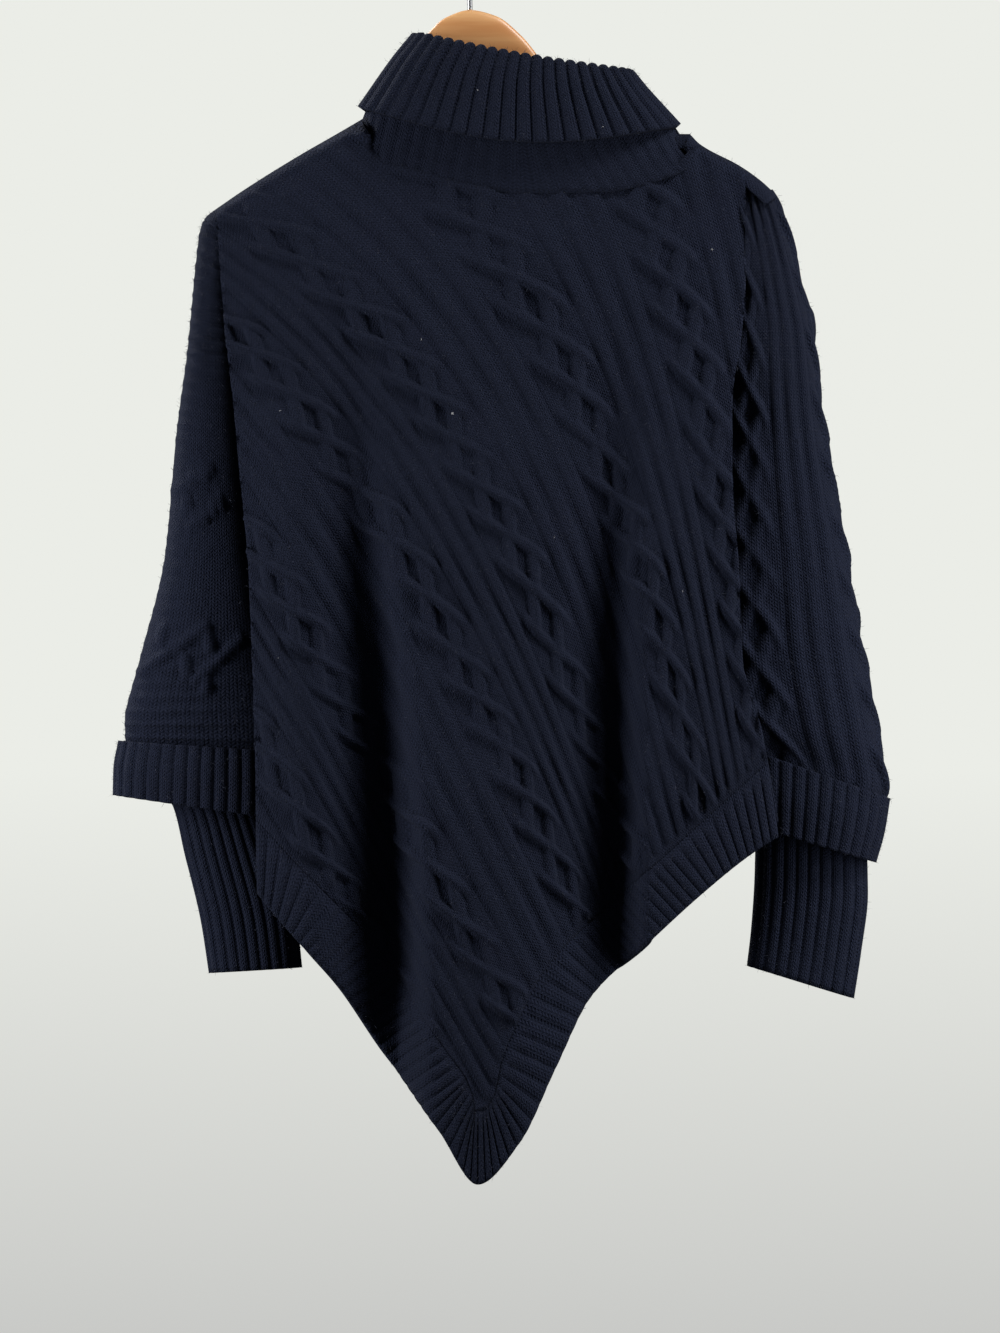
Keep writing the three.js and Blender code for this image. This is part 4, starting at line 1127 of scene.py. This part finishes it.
def knit_look():
    look, nodes, links = new_look(
        "navy_knit", Roughness=0.92, Specular_IOR_Level=0.08, Sheen_Weight=0.03, Sheen_Roughness=0.6,
        Sheen_Tint=(0.35, 0.38, 0.5, 1),
    )
    shader = nodes["Principled BSDF"]
    coords = nodes.new("ShaderNodeTexCoord").outputs["Object"]
    fluff = noise_node(nodes, links, coords, FLUFF_SCALE, 3)
    lumps = noise_node(nodes, links, coords, LUMP_SCALE, 2)
    total = math_node(nodes, links, "MULTIPLY_ADD", fluff, FLUFF_HEIGHT, stitch_height(nodes, links))
    bump = nodes.new("ShaderNodeBump")
    set_inputs(bump, {"Strength": 0.9, "Distance": YARN_BUMP})
    uneven = math_node(nodes, links, "MULTIPLY_ADD", lumps, LUMP_HEIGHT, total)
    links.new(uneven, bump.inputs["Height"])
    links.new(bump.outputs[0], shader.inputs["Normal"])
    # Painted shade: the colour runs from a darker shade where stitches and fluff lie low to the yarn's
    # colour on their tops
    ramp = colour_ramp(nodes, YARN_HOLLOW_SHADE, YARN_HIGH)
    shade = math_node(nodes, links, "MULTIPLY_ADD", total, 0.38, 0.42)
    links.new(shade, ramp.inputs[0])
    links.new(ramp.outputs[0], shader.inputs["Base Color"])
    return look


def fibre_look():
    colour = (0.03, 0.033, 0.048, 1)
    return new_look("wool_fibre", Base_Color=colour, Roughness=0.9, Specular_IOR_Level=0.2)[0]


def lint_look():
    return new_look("pale_lint", Base_Color=(0.32, 0.32, 0.33, 1), Roughness=0.95)[0]


# Grain drawn out along the hanger's arms, under a satin varnish
WOOD_LOW = (0.53, 0.235, 0.082)
WOOD_HIGH = (0.66, 0.36, 0.15)
GRAIN = (9, 60, 130)


def wood_look():
    look, nodes, links = new_look("varnished_wood", Roughness=0.42, Coat_Weight=0.25, Coat_Roughness=0.3)
    coords = nodes.new("ShaderNodeTexCoord")
    mapping = nodes.new("ShaderNodeMapping")
    mapping.inputs["Scale"].default_value = GRAIN
    links.new(coords.outputs["Object"], mapping.inputs[0])
    noise = noise_node(nodes, links, mapping.outputs[0], 1.0, 5)
    ramp = colour_ramp(nodes, WOOD_LOW, WOOD_HIGH, 0.35, 0.7)
    links.new(noise, ramp.inputs[0])
    links.new(ramp.outputs[0], nodes["Principled BSDF"].inputs["Base Color"])
    return look


def wire_look():
    colour = (0.55, 0.56, 0.57, 1)
    return new_look("bright_wire", Base_Color=colour, Metallic=1.0, Roughness=0.28)[0]


# Loose fibres standing off the yarn, all in one piece
FIBRES = 30000
FIBRE_LONG = (1.5, 5.5)
FIBRE_WIDE = 0.2
FIBRE_DEEP = 0.2
FIBRE_UP = 0.7
FIBRE_LEAN = 0.8
FIBRE_BEND = 0.6


def fuzz(look):
    random = np.random.default_rng(7)
    points = np.concatenate([root[0] for root in fuzz_roots])
    normals = np.concatenate([root[1] for root in fuzz_roots])
    chosen = random.integers(0, len(points), FIBRES)
    start = points[chosen] - normals[chosen] * FIBRE_DEEP * MM
    lean = unit(random.normal(size=(FIBRES, 3)))
    first = unit(normals[chosen] * FIBRE_UP + lean * FIBRE_LEAN)
    second = unit(first + random.normal(size=(FIBRES, 3)) * FIBRE_BEND)
    long = random.uniform(*FIBRE_LONG, size=(FIBRES, 1)) * MM
    middle = start + first * long * 0.5
    tip = middle + second * long * 0.5
    aside = unit(np.cross(first, random.normal(size=(FIBRES, 3)))) * FIBRE_WIDE / 2 * MM
    corners = np.stack([start - aside, start + aside, middle + aside, middle - aside, tip], axis=1)
    base = np.arange(FIBRES)[:, None] * 5
    quads = (base + np.array([0, 1, 2, 3])).tolist()
    tips = (base + np.array([3, 2, 4])).tolist()
    piece = new_piece("fuzz", corners.reshape(-1, 3), quads + tips, look)
    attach(piece, "root")


# Places and sizes of the pale specks of lint, each a tangle of small flakes
LINT = table("x h size", [
    (98.5, 151.9, 2.2), (-0.8, 127.1, 1.5), (-42.6, 316.2, 1.6), (-19.4, 375.1, 2.4),
    (-149.6, 371.2, 1.4), (186, 248, 1.6), (63.6, 470.5, 1.5), (162, 511.5, 1.6),
    (-153.4, 565.8, 1.5),
])
LINT_NEAR = 3.0
LINT_PROUD = 0.3
LINT_FLAKES = 7
FLAKE_SPREAD = np.array([1, 0.3, 1])
FLAKE_SIZE = 0.28


def lint(look):
    random = np.random.default_rng(11)
    points = np.concatenate([root[0] for root in fuzz_roots])
    corners = []
    for x, h, size in rows_of(LINT):
        away = np.hypot(points[:, 0] - x * MM, points[:, 2] + h * MM)
        near = points[away < LINT_NEAR * MM]
        root = near[np.argmin(near[:, 1])] + np.array([0, -LINT_PROUD * MM, 0])
        for _ in range(LINT_FLAKES):
            spread = random.normal(size=(3, 3)) * FLAKE_SPREAD * size * FLAKE_SIZE * MM
            corners.append(root + spread)
    corners = np.concatenate(corners)
    piece = new_piece("lint", corners, np.arange(len(corners)).reshape(-1, 3).tolist(), look)
    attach(piece, "root")


# Backdrop with painted light: it glows with its own light, paler above and darker towards the bottom, far
# enough behind to leave room for a view of the back
BACKDROP_Y = 11.0
BACKDROP_HALF = 4.0
GLOW_LOW = (0.575, 0.58, 0.565)
GLOW_TOP = (0.83, 0.845, 0.80)
GLOW_FROM_Z = -1.75


def backdrop():
    look, nodes, links = new_look(
        "glowing_backdrop", Base_Color=(0, 0, 0, 1), Specular_IOR_Level=0.0, Emission_Strength=1.0,
    )
    coords = nodes.new("ShaderNodeTexCoord")
    split = nodes.new("ShaderNodeSeparateXYZ")
    links.new(coords.outputs["Object"], split.inputs[0])
    # Painted light: the glow's colour runs from the lower colour to the upper one with height
    ramp = colour_ramp(nodes, GLOW_LOW, GLOW_TOP)
    links.new(math_node(nodes, links, "SUBTRACT", split.outputs[2], GLOW_FROM_Z), ramp.inputs[0])
    links.new(ramp.outputs[0], nodes["Principled BSDF"].inputs["Emission Color"])
    corners = BACKDROP_HALF * np.array([(-1, 0, -1), (1, 0, -1), (1, 0, 1), (-1, 0, 1)])
    piece = new_piece("backdrop", corners + (0, BACKDROP_Y, 0), [(0, 1, 2, 3)], look)


# Soft lights: where each stands, what it faces, its size in metres and its power in watts
MIDDLE = (0, 0, -0.5)
LIGHTS = {
    "key": ((1.7, -1.0, 1.9), MIDDLE, (0.8, 0.8), 88),
    "fill": ((-2.6, -1.0, 0.2), MIDDLE, (0.9, 0.9), 26),
    "side_left": ((-0.95, -0.42, -0.55), (-0.12, 0, -0.55), (0.35, 1.1), 11.5),
    "side_right": ((1.0, -0.42, -0.55), (0.17, 0, -0.55), (0.35, 1.1), 10),
    "back": ((-2.0, 1.5, 1.4), MIDDLE, (0.9, 0.9), 95),
}
SKY_COLOUR = (0.95, 0.97, 1.0, 1)
SKY_STRENGTH = 0.09


def area_light(name, location, target, size, power):
    data = bpy.data.lights.new(name, "AREA")
    data.shape = "RECTANGLE"
    data.size = size[0]
    data.size_y = size[1]
    data.energy = power
    light = bpy.data.objects.new(name, data)
    light.location = location
    direction = np.array(target) - np.array(location)
    light.rotation_euler = (
        math.acos(max(-1, min(1, -direction[2] / np.linalg.norm(direction)))),
        0,
        math.atan2(-direction[0], direction[1]),
    )
    bpy.context.scene.collection.objects.link(light)


def camera():
    data = bpy.data.cameras.new("camera")
    data.sensor_fit = "VERTICAL"
    data.angle = 2 * math.atan(FRAME_HEIGHT / 2 / CAMERA_AWAY)
    view = bpy.data.objects.new("camera", data)
    view.location = (FRAME_MIDDLE_X * MM, -CAMERA_AWAY * MM, -FRAME_MIDDLE_H * MM)
    view.rotation_euler = (math.pi / 2, 0, 0)
    bpy.context.scene.collection.objects.link(view)
    bpy.context.scene.camera = view


def lighting():
    world = bpy.data.worlds.new("studio")
    world.use_nodes = True
    set_inputs(world.node_tree.nodes["Background"], {"Color": SKY_COLOUR, "Strength": SKY_STRENGTH})
    bpy.context.scene.world = world
    bpy.context.scene.view_settings.view_transform = "Standard"
    for name, values in LIGHTS.items():
        area_light(name, *values)


camera()
lighting()
backdrop()

knit = knit_look()
body_panel("body_front", False, knit)
body_panel("body_back", True, knit)
sleeve("sleeve_left", SLEEVE_LEFT, knit, left_sleeve_relief)
sleeve("sleeve_right", SLEEVE_RIGHT, knit, right_sleeve_relief)
rib_tube("band_left", BAND_LEFT, 32, knit)
rib_tube("band_right", BAND_RIGHT, 29, knit)
rib_tube("cuff_left", CUFF_LEFT, 21, knit)
rib_tube("cuff_right", CUFF_RIGHT, 22, knit)
collar(knit)
shoulder_strip("shoulder_left", SHOULDER_LEFT, STRIP_LEFT, knit)
shoulder_strip("shoulder_right", SHOULDER_RIGHT, STRIP_RIGHT, knit)
hem_strip("hem_front_left", "left", False, knit)
hem_strip("hem_front_right", "right", False, knit)
hem_strip("hem_back_left", "left", True, knit)
hem_strip("hem_back_right", "right", True, knit)
hanger_wood(wood_look())
hanger_hook(wire_look())
fuzz(fibre_look())
lint(lint_look())
